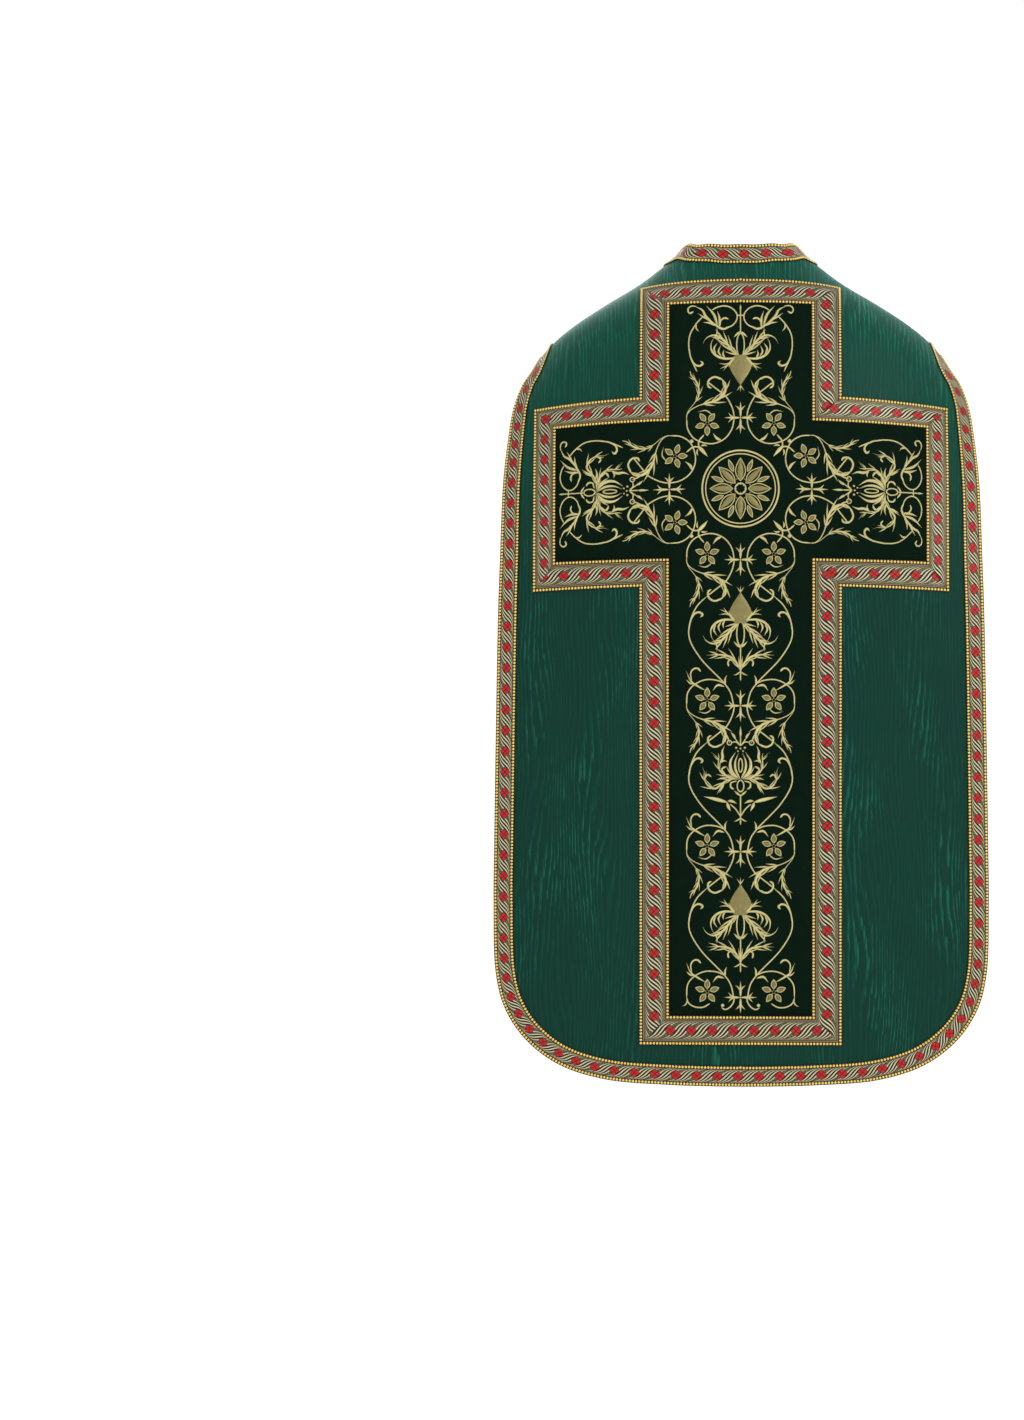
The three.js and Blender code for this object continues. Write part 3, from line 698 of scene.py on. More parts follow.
def straight_braid(side, start, end, width):
    """Places and lengths of one straight mitred piece of braid.

    start and end give their outer and inner corner, as x and the level line it lies on."""
    offsets = braid_offsets(width)
    v = (offsets / width)[None, :]
    (x_a, line_a), (x_b, line_b) = start
    (x_c, line_c), (x_d, line_d) = end
    wide = abs(x_a - x_c)
    high = abs(float(line_a(x_a)) - float(line_c(x_c)))
    u = np.linspace(0, 1, max(6, int(max(wide, high) / BRAID_STEP)))[:, None]
    x_from = x_a + (x_b - x_a) * v
    x_to = x_c + (x_d - x_c) * v
    x = x_from + (x_to - x_from) * u
    z_from = line_a(x) * (1 - v) + line_b(x) * v
    z_to = line_c(x) * (1 - v) + line_d(x) * v
    z = z_from + (z_to - z_from) * u
    gone = x if wide > high else run_at((x_a + x_b) / 2, z)
    length = (gone - gone[0, 0]) * np.sign(gone[-1, 0] - gone[0, 0])
    places = np.stack([x, side * run_at(x, z)], axis=-1)
    return places, np.stack([length, offsets[None] + 0 * u], axis=-1)


def make_beads(name, lines):
    """Low domes at even steps along lines, each turned to its line and lying on the braid."""
    sides = 8
    angle = np.linspace(0, 2 * math.pi, sides, endpoint=False)
    dome = [(r * math.cos(a), r * math.sin(a), h) for r, h in BEAD_RINGS for a in angle]
    dome = np.array([*dome, (0, 0, 1.0)]) * (BEAD_LONG, BEAD_WIDE, BEAD_HIGH)
    shape = []
    for k in range(sides):
        n = (k + 1) % sides
        shape.append((k, n, sides + n, sides + k))
        shape.append((sides + k, sides + n, 2 * sides))
    points, faces = [], []
    for line in lines:
        count = max(2, int(travelled(in_space(line))[-1] / BEAD_STEP))
        at = spaced(line, count, in_space)
        base = raised(at, GAP + TRIM - BEAD_SUNK) / MM
        way = unit(np.gradient(base, axis=0))
        normal = directions(at[:, 0], at[:, 1])[2]
        for p, a, b, c in zip(base, way, np.cross(normal, way), normal):
            start = len(points) * len(dome)
            points.append(p + dome[:, :1] * a + dome[:, 1:2] * b + dome[:, 2:] * c)
            faces += [tuple(start + i for i in face) for face in shape]
    piece = new_piece(name, np.vstack(points) * MM, faces, [True] * len(faces))
    piece.data.materials.append(rope_gold)
    return piece


def lay_braid(name, strips, weave, cad_node):
    """One piece of braid with its two rows of beads. strips are pairs of places and lengths."""
    grids, lengths = zip(*strips)
    piece, _ = cloth_wall(name, grids, GAP, GAP + TRIM, uvs=lengths)
    piece.data.materials.append(weave)
    beads = make_beads(name + "_beads", [grid[:, k] for grid in grids for k in BEAD_COLUMNS])
    for part in (piece, beads):
        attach(part, "root")
        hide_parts(cad_node)


def lay_border(name, line, turn, cad_node):
    """Narrow braid along an edge line, in one length."""
    count = int(travelled(in_space(line))[-1] / BRAID_STEP)
    strip = braid_grid(spaced(line, count, in_space), NARROW, turn)
    lay_braid(name, [strip], narrow_weave, cad_node)


def whole(edge):
    """A half edge, seam to middle, with its mirrored half after it."""
    return np.vstack([edge, edge[-2::-1] * (-1, 1)])


lay_border("braid_back_border", whole(back_edge), 1, "galloon_edge_back")
lay_border("braid_front_border", whole(front_edge), -1, "galloon_edge_front")
neck_line = np.vstack(
    [
        neck_front[::-1],
        neck_back[::-1][1:],
        (neck_back * (-1, 1))[1:],
        (neck_front * (-1, 1))[1:],
    ]
)
lay_border("braid_neck", neck_line, -1, "galloon_neck")
FRAME = [
    # outer x, outer line, inner x, inner line, at each corner down the right half
    (FRAME_HALF, TOP_OUT, VELVET_HALF, TOP_IN),
    (FRAME_HALF, ARM_TOP_OUT, VELVET_HALF, ARM_TOP_IN),
    (ARM_OUT, ARM_TOP_OUT, ARM_IN, ARM_TOP_IN),
    (ARM_OUT, ARM_LOW_OUT, ARM_IN, ARM_LOW_IN),
    (FRAME_HALF, ARM_LOW_OUT, VELVET_HALF, ARM_LOW_IN),
    (FRAME_HALF, FOOT_OUT, VELVET_HALF, FOOT_IN),
]
ring = [((xo, zo), (xi, zi)) for xo, zo, xi, zi in FRAME]
ring += [((-xo, zo), (-xi, zi)) for xo, zo, xi, zi in reversed(FRAME)]
strips = [straight_braid(BACK, a, b, WIDE) for a, b in zip(ring, ring[1:] + ring[:1])]
lay_braid("braid_cross", strips, wide_weave, "galloon_cross_back")
CHEST_IN = float(front_edge[chest, 0]) - 25.5
bar_ends = [((x, BAR_TOP), (x, BAR_LOW)) for x in (-CHEST_IN, CHEST_IN)]
bar = straight_braid(FRONT, *bar_ends, WIDE)
lay_braid("braid_chest_bar", [bar], wide_weave, "galloon_bar_front")
for word, sign in (("left", 1), ("right", -1)):
    outer, inner = sign * FRAME_HALF, sign * VELVET_HALF
    strip_ends = [((outer, line), (inner, line)) for line in (BAR_LOW, COLUMN_FOOT)]
    strip = straight_braid(FRONT, *strip_ends, WIDE)
    cad_node = f"galloon_column_front_{word}"
    lay_braid(f"braid_column_{word}", [strip], wide_weave, cad_node)

# The embroidery. Gold thread laid in satin stitch over card on the velvet, a scroll of
# stems with acanthus leaves that rises in hearts between small crosses, each heart round
# an artichoke or a lotus. All is drawn for the right half of one repeat and mirrored.
UNIT = 191.0
STEM = 2.0
LEAF_SLIM = 0.78
PETAL_LINE = 1.5
THREAD_LOW, THREAD_HIGH = VELVET_TOP - 0.1, 1.5
SCROLL = [
    # kind, full width, points from root to tip, or a ring's middle and its two radii
    ("stem", STEM, [
        (8, -6), (13, 17), (21, 29), (53, 63), (67, 89), (66, 109), (57, 130), (44, 143),
    ]),
    ("stem", STEM, [(44, 143), (30, 154), (19, 163), (10.5, 179), (8, 191)]),
    ("stem", STEM, [(21, 29), (30, 33), (46, 34), (61, 27), (69, 17), (70.6, 0)]),
    ("vine", 9.0, [
        (70.6, 191), (70, 187), (65.5, 181), (57, 176), (47, 172.5), (37, 170), (27, 165),
        (20, 155), (20, 146), (26, 139),
    ]),
    ("stem", 2.8, [(24, 140.5), (34, 137), (41.6, 141.6), (42.2, 149.6), (38, 152)]),
    ("vine", 6.0, [
        (70.6, 191), (70.3, 187), (67, 180), (60.5, 172), (55, 163), (54.5, 154), (58, 143),
        (64.5, 135), (66, 129.5),
    ]),
    ("curl", 3.2, [(67.5, 98), (65, 112), (59, 121), (52.5, 122), (49.5, 118.5)]),
    ("leaf", 4.2, [(50, 122), (50, 118), (53, 115.5)]),
    ("leaf", 3.8, [(20, 27), (20.2, 35), (17.8, 40)]),
    ("leaf", 4.2, [(21, 25), (30, 27), (36.3, 19.5)]),
    ("leaf", 3.6, [(46, 20), (58, 27), (64.7, 32), (71, 45.5)]),
    ("leaf", 3.2, [(61, 28), (66, 29.5), (71, 34)]),
    ("curl", 3.0, [(64, 33), (65, 43), (60.7, 48.6), (55.4, 48.6), (52, 44.6)]),
    ("leaf", 2.4, [(36, 188), (45, 181.5), (56, 183.5)]),
]
CROSS = [
    ("leaf", 4.4, [(0, 0), (0, 12), (0, 21)]),
    ("leaf", 2.8, [(0, 8), (2.5, 12.5), (6.5, 16)]),
    ("leaf", 4.4, [(0, 0), (0, -12), (0, -21)]),
    ("leaf", 2.8, [(0, -8), (2.5, -12.5), (6.5, -16)]),
    ("leaf", 4.4, [(0, 0), (12, 0), (21, 0)]),
    ("leaf", 2.8, [(8, 0), (12.5, 2.5), (16, 6.5)]),
    ("leaf", 2.8, [(8, 0), (12.5, -2.5), (16, -6.5)]),
]
ARTICHOKE = [
    ("bulb", 30, [(0, 108), (0, 128), (0, 148)]),
    ("leaf", 4.6, [(0, 110), (0, 120), (0, 128)]),
    ("leaf", 4.6, [(3, 110), (6.5, 118), (7.5, 126)]),
    ("leaf", 5.0, [(5, 110), (12, 116), (15.5, 124)]),
    ("leaf", 2.0, [(0, 146), (0, 151), (0, 157)]),
    ("leaf", 1.9, [(0, 148), (2, 151.5), (4.8, 155.5)]),
    ("leaf", 3.4, [(9, 114), (17, 121), (22, 128.5)]),
    ("leaf", 2.2, [(15, 119), (20, 123), (27, 126)]),
    ("leaf", 2.2, [(14, 118), (20, 120), (28, 119)]),
    ("leaf", 4.6, [
        (3, 111), (20, 112.6), (31.7, 108.6), (38.3, 100.7), (38.3, 91.5), (34.3, 83.6),
    ]),
    ("leaf", 3.2, [(35, 85), (31, 79), (31, 71)]),
    ("leaf", 3.6, [(20, 112), (23, 107), (22, 101)]),
    ("leaf", 3.6, [(25, 110), (29, 103), (26, 95)]),
    ("leaf", 3.6, [(31.7, 107), (35, 99.4), (30.4, 91.5)]),
    ("plume", 9.5, [
        (1, 109), (10, 103), (17, 94), (26, 84.5), (35.6, 81), (44.9, 85), (49.5, 92.5),
    ]),
    ("ring", 1.9, [(0, 94.5), (5, 16)]),
    ("leaf", 4.0, [(0, 76), (4, 79), (9, 84)]),
    ("stem", STEM, [(0, 78), (0, 56), (0, 33)]),
    ("frond", 8.5, [(0, 45), (5, 56), (13, 63.5), (25, 66.5), (44, 66)]),
    ("curl", 3.0, [(12, 62), (16.5, 57), (15.5, 51.5)]),
    ("leaf", 2.8, [(0, 45), (5, 41), (9.5, 40)]),
]
LOTUS = [
    ("ring", 1.8, [(0, 113), (2.6, 9)]),
    ("leaf", 4.4, [(0.5, 95), (6.6, 108), (6.6, 119), (2.5, 129)]),
    ("leaf", 5.4, [(2, 95), (12, 106), (13.2, 118), (6.5, 130)]),
    ("leaf", 3.6, [(5, 96), (13, 103), (18.8, 112)]),
    ("dot", 2.6, [(3.4, 131.5)]),
    ("dot", 3.2, [(5.6, 136)]),
    ("dot", 2.8, [(0, 135)]),
    ("stem", 1.9, [(0, 138), (0, 145), (0, 151)]),
    ("leaf", 4.2, [(0, 149), (0, 156), (0, 164)]),
    ("stem", 1.8, [(0.5, 139), (4, 143.5), (7, 148)]),
    ("leaf", 4.4, [(6.5, 147), (9, 152), (13, 156.5)]),
    ("stem", 1.8, [(1, 139), (5.5, 143.5), (11.5, 143)]),
    ("ring", 1.6, [(14.5, 142.5), (3, 3)]),
    ("frond", 6.0, [
        (2, 94.5), (16, 98), (25, 103.6), (29, 111.5), (29, 120.8), (33, 126), (38.5, 130),
    ]),
    ("leaf", 5.0, [(27, 115), (23.5, 123), (24, 131), (21, 138.5)]),
    ("leaf", 3.4, [(27, 116), (22, 119), (17.5, 118)]),
    ("curl", 3.0, [(13, 98), (22, 102), (24.5, 108), (19, 111.5)]),
    ("frond", 7.5, [
        (3, 95), (15, 94.5), (24, 89), (33, 82.5), (42, 86), (47.5, 95.7), (47.5, 105),
        (49.8, 111.5),
    ]),
    ("curl", 2.8, [(47, 95), (43, 101), (38.3, 98)]),
    ("leaf", 3.6, [(16, 94), (24, 96), (31, 94)]),
    ("leaf", 3.8, [(21, 91), (24, 84), (27.5, 77)]),
    ("curl", 3.0, [(5, 92.5), (12.5, 90), (12.5, 84), (8.6, 81.8)]),
    ("ring", 1.9, [(0, 86), (4.4, 7.5)]),
    ("leaf", 3.8, [(0, 73), (4, 76), (8.5, 80)]),
    ("stem", STEM, [(0, 75), (0, 55), (0, 35)]),
    ("stem", 1.9, [(0, 46), (6.6, 56), (14, 62.5)]),
    ("leaf", 5.0, [(17, 66.5), (11, 66), (5, 63)]),
    ("leaf", 5.4, [(18, 64.5), (16, 59), (13, 53)]),
    ("leaf", 6.2, [(17, 64.5), (30, 68), (48, 72)]),
    ("leaf", 2.8, [(0, 44), (5, 40.5), (8.5, 39.5)]),
]
# What closes an arm at its outer end, and what closes the ring by a cross at the centre.
ARM_END = [
    ("stem", STEM, [(57, 130), (65.5, 110), (68, 93), (66, 79), (58, 65), (49, 55)]),
    ("leaf", 3.0, [(58, 65), (58.5, 71), (54.5, 76)]),
    ("stem", STEM, [
        (38, 47), (30, 42.5), (20, 41), (11, 44.5), (5, 52), (5, 60), (11, 68), (20, 71),
    ]),
    ("leaf", 4.4, [(14, 70), (23, 72.5), (33, 67), (42, 58)]),
    ("leaf", 4.4, [(28, 70), (27.5, 59), (30.5, 48)]),
    ("leaf", 4.8, [(30, 69), (35, 53), (45, 41)]),
    ("leaf", 5.0, [(33, 68), (46, 55), (50, 47), (61, 41)]),
    ("leaf", 3.4, [(40, 61), (49, 56), (56, 51)]),
    ("leaf", 4.0, [(31, 69), (40, 64.5), (49, 63.5)]),
    ("curl", 2.8, [(58, 41.5), (65, 41), (69.5, 45.5), (67, 51), (62, 48.5)]),
    ("curl", 3.2, [(27, 69), (26, 61), (21, 57.5), (16, 59)]),
    ("stem", 1.9, [(0, 79), (0, 62), (0, 45)]),
    ("leaf", 3.4, [(0, 48), (0, 43), (0, 38.5)]),
    ("stem", 1.9, [(0, 54), (3, 54), (5.5, 54)]),
]
RING_END = [
    ("stem", STEM, [
        (8, -2), (11, 14), (20, 27), (33, 33.5), (46, 33.5), (61, 27), (69, 15), (70.6, 0),
    ]),
    ("leaf", 5.0, [(24, 30.5), (31, 27), (36, 20.5)]),
]
TAIL = [
    ("stem", STEM, [(8, 0), (9.5, -7), (14, -13), (20, -16), (25, -13.5)]),
    ("dot", 5.0, [(23.5, -10.5)]),
    ("stem", STEM, [(70.6, 0), (68, -7.5), (60, -12.5), (49, -13), (40, -8)]),
    ("leaf", 2.6, [(69.5, -3), (71.5, -9.5), (76.5, -12)]),
]
CORNER = [
    ("dot", 5.6, [(64, 62)]),
    ("stem", 2.2, [(47.6, 70.6), (54.4, 62), (54.4, 55), (51, 50)]),
    ("stem", 2.2, [(70.6, 47.6), (62, 54.4), (55, 54.4), (50, 51)]),
    ("leaf", 6.4, [(56, 56), (49, 49), (43, 42)]),
    ("leaf", 3.4, [(52, 56), (47, 57), (43, 55.5)]),
    ("leaf", 3.4, [(56, 52), (57, 47), (55.5, 43)]),
]
SWELLS = {
    # kind: pairs of how far along a stroke and how wide, as parts of its whole
    "bulb": [(0, 0.5), (0.12, 0.85), (0.3, 1), (0.45, 0.95), (0.65, 0.66), (0.85, 0.3), (1, 0.04)],
    "vine": [(0, 0.32), (0.3, 0.32), (0.5, 0.7), (0.72, 1), (0.9, 0.6), (1, 0.34)],
}
DOT_SHAPE = np.array([0.1, 0.8, 1.0, 0.8, 0.1])
LOBE_SPAN = {"vine": (0.4, 0.82), "plume": (0.12, 0.56), "frond": (0.15, 0.78)}
LOBE_REACH = (1.4, 1.8, 1.7, 1.3)
LOBE_LEAN = math.radians(27)
LOBE_WIDE, LOBE_ROOT, LOBE_SAG = 0.32, 0.35, 0.08
PETAL_FILL, DOT_AT, DOT_WIDE = 0.8, 0.55, 1.5
SECTION = np.array([-1, -0.6, 0, 0.6, 1.0])
STROKE_STEP = 2.2
LIFT_LEAST, LIFT_SHARE = 0.25, 0.62
FLANK, VEIN, VEINED_FROM = 0.78, 0.62, 5
CLOSED = ("ring", "petal")


def stroke_shape(kind, t):
    """How wide a stroke is along itself, as a part of its full width."""
    ends = np.minimum(1, np.minimum(t, 1 - t) * 14 + 0.35)
    if kind == "stem":
        return ends
    if kind == "curl":
        return np.minimum(ends, 0.55 + 0.45 * t)
    if kind in SWELLS:
        along, wide = zip(*SWELLS[kind])
        return np.interp(t, along, wide)
    return np.maximum(LEAF_SLIM * np.sin(math.pi * t**0.75), 0.06)


def lobes(kind, width, points):
    """The tongues along both sides of a frond, a plume or the outer part of a vine's leaf."""
    count = 60
    line = spaced(spline(points), count)
    way = unit(np.gradient(line, axis=0))
    made = []
    for t, reach in zip(np.linspace(*LOBE_SPAN[kind], len(LOBE_REACH)), LOBE_REACH):
        at = int(count * t)
        ahead = way[at] * width * reach
        aside = np.array([-ahead[1], ahead[0]])
        root = line[at] - ahead * LOBE_ROOT
        for side in (-1, 1):
            tip = line[at] + ahead * math.cos(LOBE_LEAN) + aside * math.sin(LOBE_LEAN) * side
            middle = (root + tip) / 2 - ahead * LOBE_SAG
            made.append(("leaf", width * LOBE_WIDE, [tuple(root), tuple(middle), tuple(tip)]))
    return made


def petals(x, y, count, start, near, far, width):
    """Outlined and netted petals round a flower's middle, with a dot at the foot of each."""
    made = []
    for k in range(count):
        a = start + 2 * math.pi * k / count
        root, middle, tip, dot = [
            (x + math.cos(a) * r, y + math.sin(a) * r)
            for r in (near, (near + far) / 2, far, near * DOT_AT)
        ]
        made.append(("heart", width * PETAL_FILL, [root, middle, tip]))
        made.append(("petal", width, [root, tip]))
        made.append(("dot", DOT_WIDE, [dot]))
    return made


def outline_of(kind, width, points):
    """A closed line round a ring's or petal's form."""
    if kind == "ring":
        (x, y), (across, high) = points
        angle = np.linspace(0, 2 * math.pi, max(17, int(1.6 * (across + high))))
        return np.column_stack([x + across * np.cos(angle), y + high * np.sin(angle)])
    root, tip = np.array(points)
    axis = tip - root
    side = unit(np.array([-axis[1], axis[0]]))
    t = np.linspace(0, 1, 9)[:, None]
    bulge = np.sin(math.pi * t**0.85) * width / 2
    return np.vstack([root + axis * t + side * bulge, (root + axis * t - side * bulge)[-2::-1]])


def unit_strokes(*tables, mirror=True):
    """All strokes of the tables, both halves, with fronds, plumes and vines spelled out."""
    made = []
    for kind, width, points in [row for table in tables for row in table]:
        rows = [(kind, width, points)]
        if kind in LOBE_SPAN:
            spine = ("vine" if kind == "vine" else "leaf", width * 0.5, points)
            rows = [spine, *lobes(kind, width, points)]
        for row_kind, row_width, row_points in rows:
            doubled = mirror and max(abs(x) for x, _ in row_points) > 0.2
            for sign in (1, -1) if doubled else (1,):
                made.append((row_kind, row_width, [(sign * x, y) for x, y in row_points]))
    return made


def stroke_line(kind, width, points):
    """A stroke's middle line, and how wide it is along itself."""
    if kind == "dot":
        (x, y), r = points[0], width / 2
        return spaced(np.array([(x, y - r), (x, y + r)]), len(DOT_SHAPE)), DOT_SHAPE
    if kind in CLOSED:
        line = outline_of(kind, width, points)
        return line, np.ones(len(line))
    line = spline(points, 8)
    line = spaced(line, max(7, int(travelled(line)[-1] / STROKE_STEP)))
    return line, stroke_shape(kind, np.linspace(0, 1, len(line)))


def sew(name, side, motifs, material, parts):
    """One mesh of raised strokes. motifs are (strokes, move) and move takes x, y to x, z."""
    flat, heights, faces, uv = [], [], [], []
    start = 0
    sewn_rows = [(move, *row) for strokes, move in motifs for row in strokes if row[0] in parts]
    for move, kind, width, points in sewn_rows:
        line, shape = stroke_line(kind, width, points)
        width = PETAL_LINE if kind == "petal" else width
        way = np.gradient(line, axis=0)
        if kind in CLOSED:
            way[0] = way[-1] = line[1] - line[-2]
        way = unit(way)
        normal = np.column_stack([-way[:, 1], way[:, 0]])
        half = (shape * width / 2)[:, None]
        across = SECTION[None] * half
        spread = line[:, None] + normal[:, None] * across[..., None]
        lift = np.minimum(THREAD_HIGH, LIFT_LEAST + half * LIFT_SHARE)
        ridge = VEIN if width > VEINED_FROM and kind == "leaf" else 1.0
        x, z = move(spread[..., 0], spread[..., 1])
        flat.append(np.column_stack([x.ravel(), z.ravel()]))
        heights.append((THREAD_LOW + lift * [0, FLANK, ridge, FLANK, 0]).ravel())
        gone = travelled(line)[:, None] + 0 * SECTION
        uv.append(np.stack([gone, across], axis=-1).reshape(-1, 2))
        faces.append(grid_faces(len(line), len(SECTION), start)[:, [0, 3, 2, 1]])
        start += len(line) * len(SECTION)
    flat, faces, uv = np.vstack(flat), np.vstack(faces), np.vstack(uv)
    places = np.column_stack([flat[:, 0], side * run_at(flat[:, 0], flat[:, 1])])
    points = raised(places, np.concatenate(heights))
    faces = facing_out(faces, points, directions(places[:, 0], places[:, 1])[2])
    piece = new_piece(name, points, faces.tolist(), [True] * len(faces), uv)
    piece.data.materials.append(material)
    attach(piece, "root")
    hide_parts("orphrey_back" if side == BACK else "orphrey_front")
    return piece


# Gold thread: satin stitches of pale gold that run across each stroke, each painted lighter on
# its crown and darker between stitches, a painted highlight and shade over the stitches' relief.
STITCH, NET_TURN = 0.8, 2.1
GOLD_STITCH_SHADE, GOLD_STITCH_HIGHLIGHT, NET_DEEP, NET_BRIGHT = "#8d824c", "#d0c78f", "#453e20", "#958b55"
gold, tree, shader = new_material(
    "gold thread", Roughness=0.36, Metallic=0.55, Specular_IOR_Level=0.5
)
along_stroke, across_stroke = uv_lines(tree)
stitch = along_stroke.wave(STITCH)
# painted highlight on each stitch's crown and painted shade in the groove between stitches
stitched = blend(stitch.ramp(-1.0, 1.0), GOLD_STITCH_SHADE, GOLD_STITCH_HIGHLIGHT)
finish_shader(shader, stitched, stitch, 0.4, 0.0003)
# Netted gold: couched thread in a small lattice, darker than the satin stitch.
netted, tree, shader = new_material(
    "netted gold thread", Roughness=0.5, Metallic=0.45, Specular_IOR_Level=0.4
)
along_stroke, across_stroke = uv_lines(tree)
rising = (along_stroke + across_stroke) * NET_TURN
falling = (along_stroke - across_stroke) * NET_TURN
lattice = rising.math("SINE") * falling.math("SINE")
finish_shader(shader, blend(lattice.ramp(-0.6, 0.6), NET_DEEP, NET_BRIGHT))

ARM_DROOP = 8.0
END_FROM, END_SQUEEZE = 80.0, 0.84
CROSS_AT = 93.0
ARM_KEEPS, FLOWER_KEEPS, STUB_KEEPS, STUB_FLOWER_KEEPS = 95, 68, 60, 74
SHAFT_FEET = (-973.0, -782.0, -591.0)
COLUMN_FEET = (-927.0, -736.0, -545.0)
BLOSSOM = petals(43.5, 7.5, 5, math.pi / 2, 4.0, 16.0, 6.4)


def upright(z0, sign=1):
    """A repeat with its foot at height z0, upside down with sign -1."""
    return lambda x, y: (x, z0 + sign * y)


def sideways(x0, sign, squeeze=1.0):
    """A repeat laid level, its foot at x0 and its top towards the middle, its end squeezed."""

    def move(x, y):
        y = np.where(y < END_FROM, END_FROM - (END_FROM - y) * squeeze, y)
        across_arm = x0 - sign * y
        return across_arm, CROSS_CENTRE_Z + x - ARM_DROOP * (across_arm / ARM_OUT) ** 2

    return move


def quarter(turn_x, turn_z):
    """One of the four corners of the crossing."""
    return lambda x, y: (turn_x * x, CROSS_CENTRE_Z + turn_z * y)


def above(table, least):
    """The rows of a table that stay above a height of the repeat."""
    return [row for row in table if min(y for _, y in row[2]) > least]


def below(table, most):
    """The rows of a table that stay below a height of the repeat."""
    return [row for row in table if max(y for _, y in row[2]) < most]


def shaft(feet):
    """Whole repeats one over another, and what closes the foot of the lowest."""
    flowers = (ARTICHOKE, LOTUS, ARTICHOKE)
    made = [(unit_strokes(SCROLL, BLOSSOM, f), upright(z)) for z, f in zip(feet, flowers)]
    return made, (unit_strokes(TAIL), upright(feet[0]))


def arm(flower):
    """The outer part of a repeat, shortened to an arm's length."""
    kept = [row for row in flower if row[0] == "ring" or row in above(flower, FLOWER_KEEPS)]
    return unit_strokes(above(SCROLL, ARM_KEEPS), kept, ARM_END)


back_motifs, foot = shaft(SHAFT_FEET)
crosses = (*SHAFT_FEET, CROSS_CENTRE_Z - CROSS_AT)
back_motifs += [(unit_strokes(CROSS), upright(z)) for z in crosses]
back_motifs.append(foot)
inner_end = unit_strokes(RING_END, BLOSSOM)
over = CROSS_CENTRE_Z + CROSS_AT
ARMS = [
    # flower, the whole arm's place, the place of the cross at its inner end
    (ARTICHOKE, upright(over + UNIT, -1), upright(over, -1)),
    (LOTUS, sideways(CROSS_AT + UNIT, 1, END_SQUEEZE), sideways(CROSS_AT, 1)),
    (LOTUS, sideways(-CROSS_AT - UNIT, -1, END_SQUEEZE), sideways(-CROSS_AT, -1)),
]
for flower, whole_arm, at_cross in ARMS:
    back_motifs.append((arm(flower), whole_arm))
    back_motifs += [(unit_strokes(CROSS), at_cross), (inner_end, at_cross)]
back_motifs.append((inner_end, upright(CROSS_CENTRE_Z - CROSS_AT)))
corner_strokes = unit_strokes(CORNER, mirror=False)
for turn_x in (1, -1):
    for turn_z in (1, -1):
        back_motifs.append((corner_strokes, quarter(turn_x, turn_z)))
# A plain rosette fills the middle of the cross.
ROSETTE = [
    # kind, full width, a ring's middle and its two radii
    ("ring", 2.6, [(0, 0), (50, 50)]),
    ("ring", 1.8, [(0, 0), (45.5, 45.5)]),
    ("ring", 2.2, [(0, 0), (7, 7)]),
]
ROSETTE += petals(0, 0, 8, 0, 10, 40, 13) + petals(0, 0, 8, math.pi / 8, 24, 41, 5)
for k in range(8):
    c, s = math.cos(k * math.pi / 4), math.sin(k * math.pi / 4)
    ROSETTE.append(("leaf", 4.2, [(r * c, r * s) for r in (13, 23, 35)]))
back_motifs.append((unit_strokes(ROSETTE, mirror=False), upright(CROSS_CENTRE_Z)))

front_motifs, foot = shaft(COLUMN_FEET)
stub_foot = COLUMN_FEET[2] + UNIT
front_motifs += [(unit_strokes(CROSS), upright(z)) for z in (*COLUMN_FEET, stub_foot)]
front_motifs.append(foot)
STUB = [("stem", STEM, [(8, -6), (13, 17), (21, 29), (53, 63), (67, 89)])]
STUB += below(SCROLL, STUB_KEEPS)
stub_strokes = unit_strokes(STUB, BLOSSOM, below(LOTUS, STUB_FLOWER_KEEPS))
front_motifs.append((stub_strokes, upright(stub_foot)))

RAISED = ("stem", "curl", "leaf", "vine", "dot", "ring", "petal")
NETTED = ("bulb", "heart")
for word, side, motifs in (("back", BACK, back_motifs), ("front", FRONT, front_motifs)):
    scroll = sew(f"embroidery_{word}", side, motifs, gold, RAISED)
    netting = sew(f"netting_{word}", side, motifs, netted, NETTED)

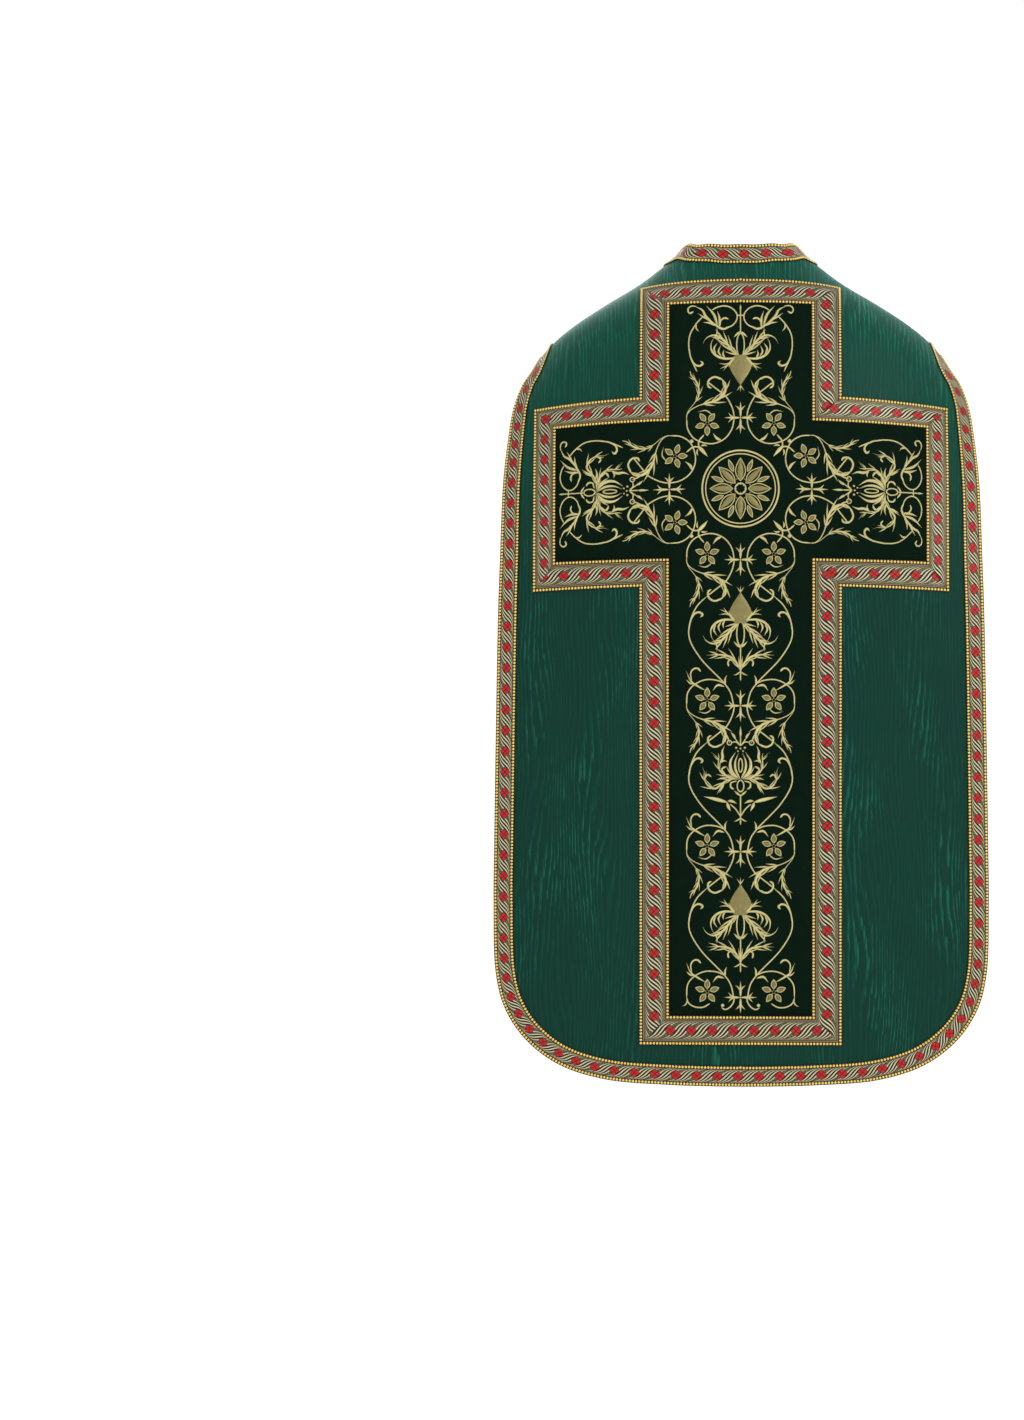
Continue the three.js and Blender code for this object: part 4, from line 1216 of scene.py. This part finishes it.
# The studio. A sweep of white paper under and behind the garment, which glows a little so
# that it photographs white, and three soft lamps.
FLOOR_Z, SWEEP, WALL_Y, WALL_TOP, HALF_WIDTH = -1.55, 7.0, -6.5, 12.0, 16.0
bend = np.linspace(0.05, math.pi / 2, 32)
profile = [(16.0, FLOOR_Z), (WALL_Y, FLOOR_Z)]
profile += [(WALL_Y - SWEEP * math.sin(a), FLOOR_Z + SWEEP * (1 - math.cos(a))) for a in bend]
profile += [(WALL_Y - SWEEP, WALL_TOP)]
points = [(x, y, z) for y, z in profile for x in (-HALF_WIDTH, HALF_WIDTH)]
faces = [(2 * k, 2 * k + 1, 2 * k + 3, 2 * k + 2) for k in range(len(profile) - 1)]
sweep = new_piece("sweep", np.array(points), faces, [True] * len(faces))
paper, _, shader = new_material("white paper", Roughness=0.9, Specular_IOR_Level=0.1)
shader.inputs["Base Color"].default_value = colour("#f8f8f7")
shader.inputs["Emission Color"].default_value = (1, 1, 1, 1)
shader.inputs["Emission Strength"].default_value = 0.12
sweep.data.materials.append(paper)

scene = bpy.context.scene
world = bpy.data.worlds.new("studio")
world.use_nodes = True
world.node_tree.nodes["Background"].inputs[0].default_value = (1, 1, 1, 1)
world.node_tree.nodes["Background"].inputs[1].default_value = 1.0
scene.world = world
scene.view_settings.view_transform = "Standard"
LAMPS = [
    # name, place, aimed at, size, power
    ("key", (-2.4, 3.2, 1.6), (0, 0.1, -0.5), 1.8, 90),
    ("fill", (2.6, 3.2, 0.6), (0, 0.1, -0.6), 2.2, 10),
    ("front", (0.4, -4.0, 1.4), (0, -0.1, -0.6), 2.4, 60),
]
for name, place, aim, size, power in LAMPS:
    lamp = bpy.data.lights.new(name, "AREA")
    lamp.size, lamp.energy = size, power
    stand = bpy.data.objects.new(name, lamp)
    stand.location = place
    stand.rotation_euler = (Vector(aim) - Vector(place)).to_track_quat("-Z", "Y").to_euler()
    scene.collection.objects.link(stand)

# The camera: level, square to the back, with the garment right of the middle as photographed.
PIXEL = 0.00132
PHOTO_WIDE, PHOTO_HIGH = 1024, 1420
ORIGIN_ACROSS, ORIGIN_DOWN = 740.5, 258
DISTANCE, FACE_Y = 6.0, 0.1
lens = bpy.data.cameras.new("camera")
lens.sensor_width = 36.0
lens.lens = lens.sensor_width * DISTANCE / (PHOTO_HIGH * PIXEL)
camera = bpy.data.objects.new("camera", lens)
camera.location = (0, FACE_Y + DISTANCE, (ORIGIN_DOWN - PHOTO_HIGH / 2) * PIXEL)
aim = Vector(((ORIGIN_ACROSS - PHOTO_WIDE / 2) * PIXEL, FACE_Y, camera.location.z))
camera.rotation_euler = (aim - camera.location).to_track_quat("-Z", "Y").to_euler()
scene.collection.objects.link(camera)
scene.camera = camera
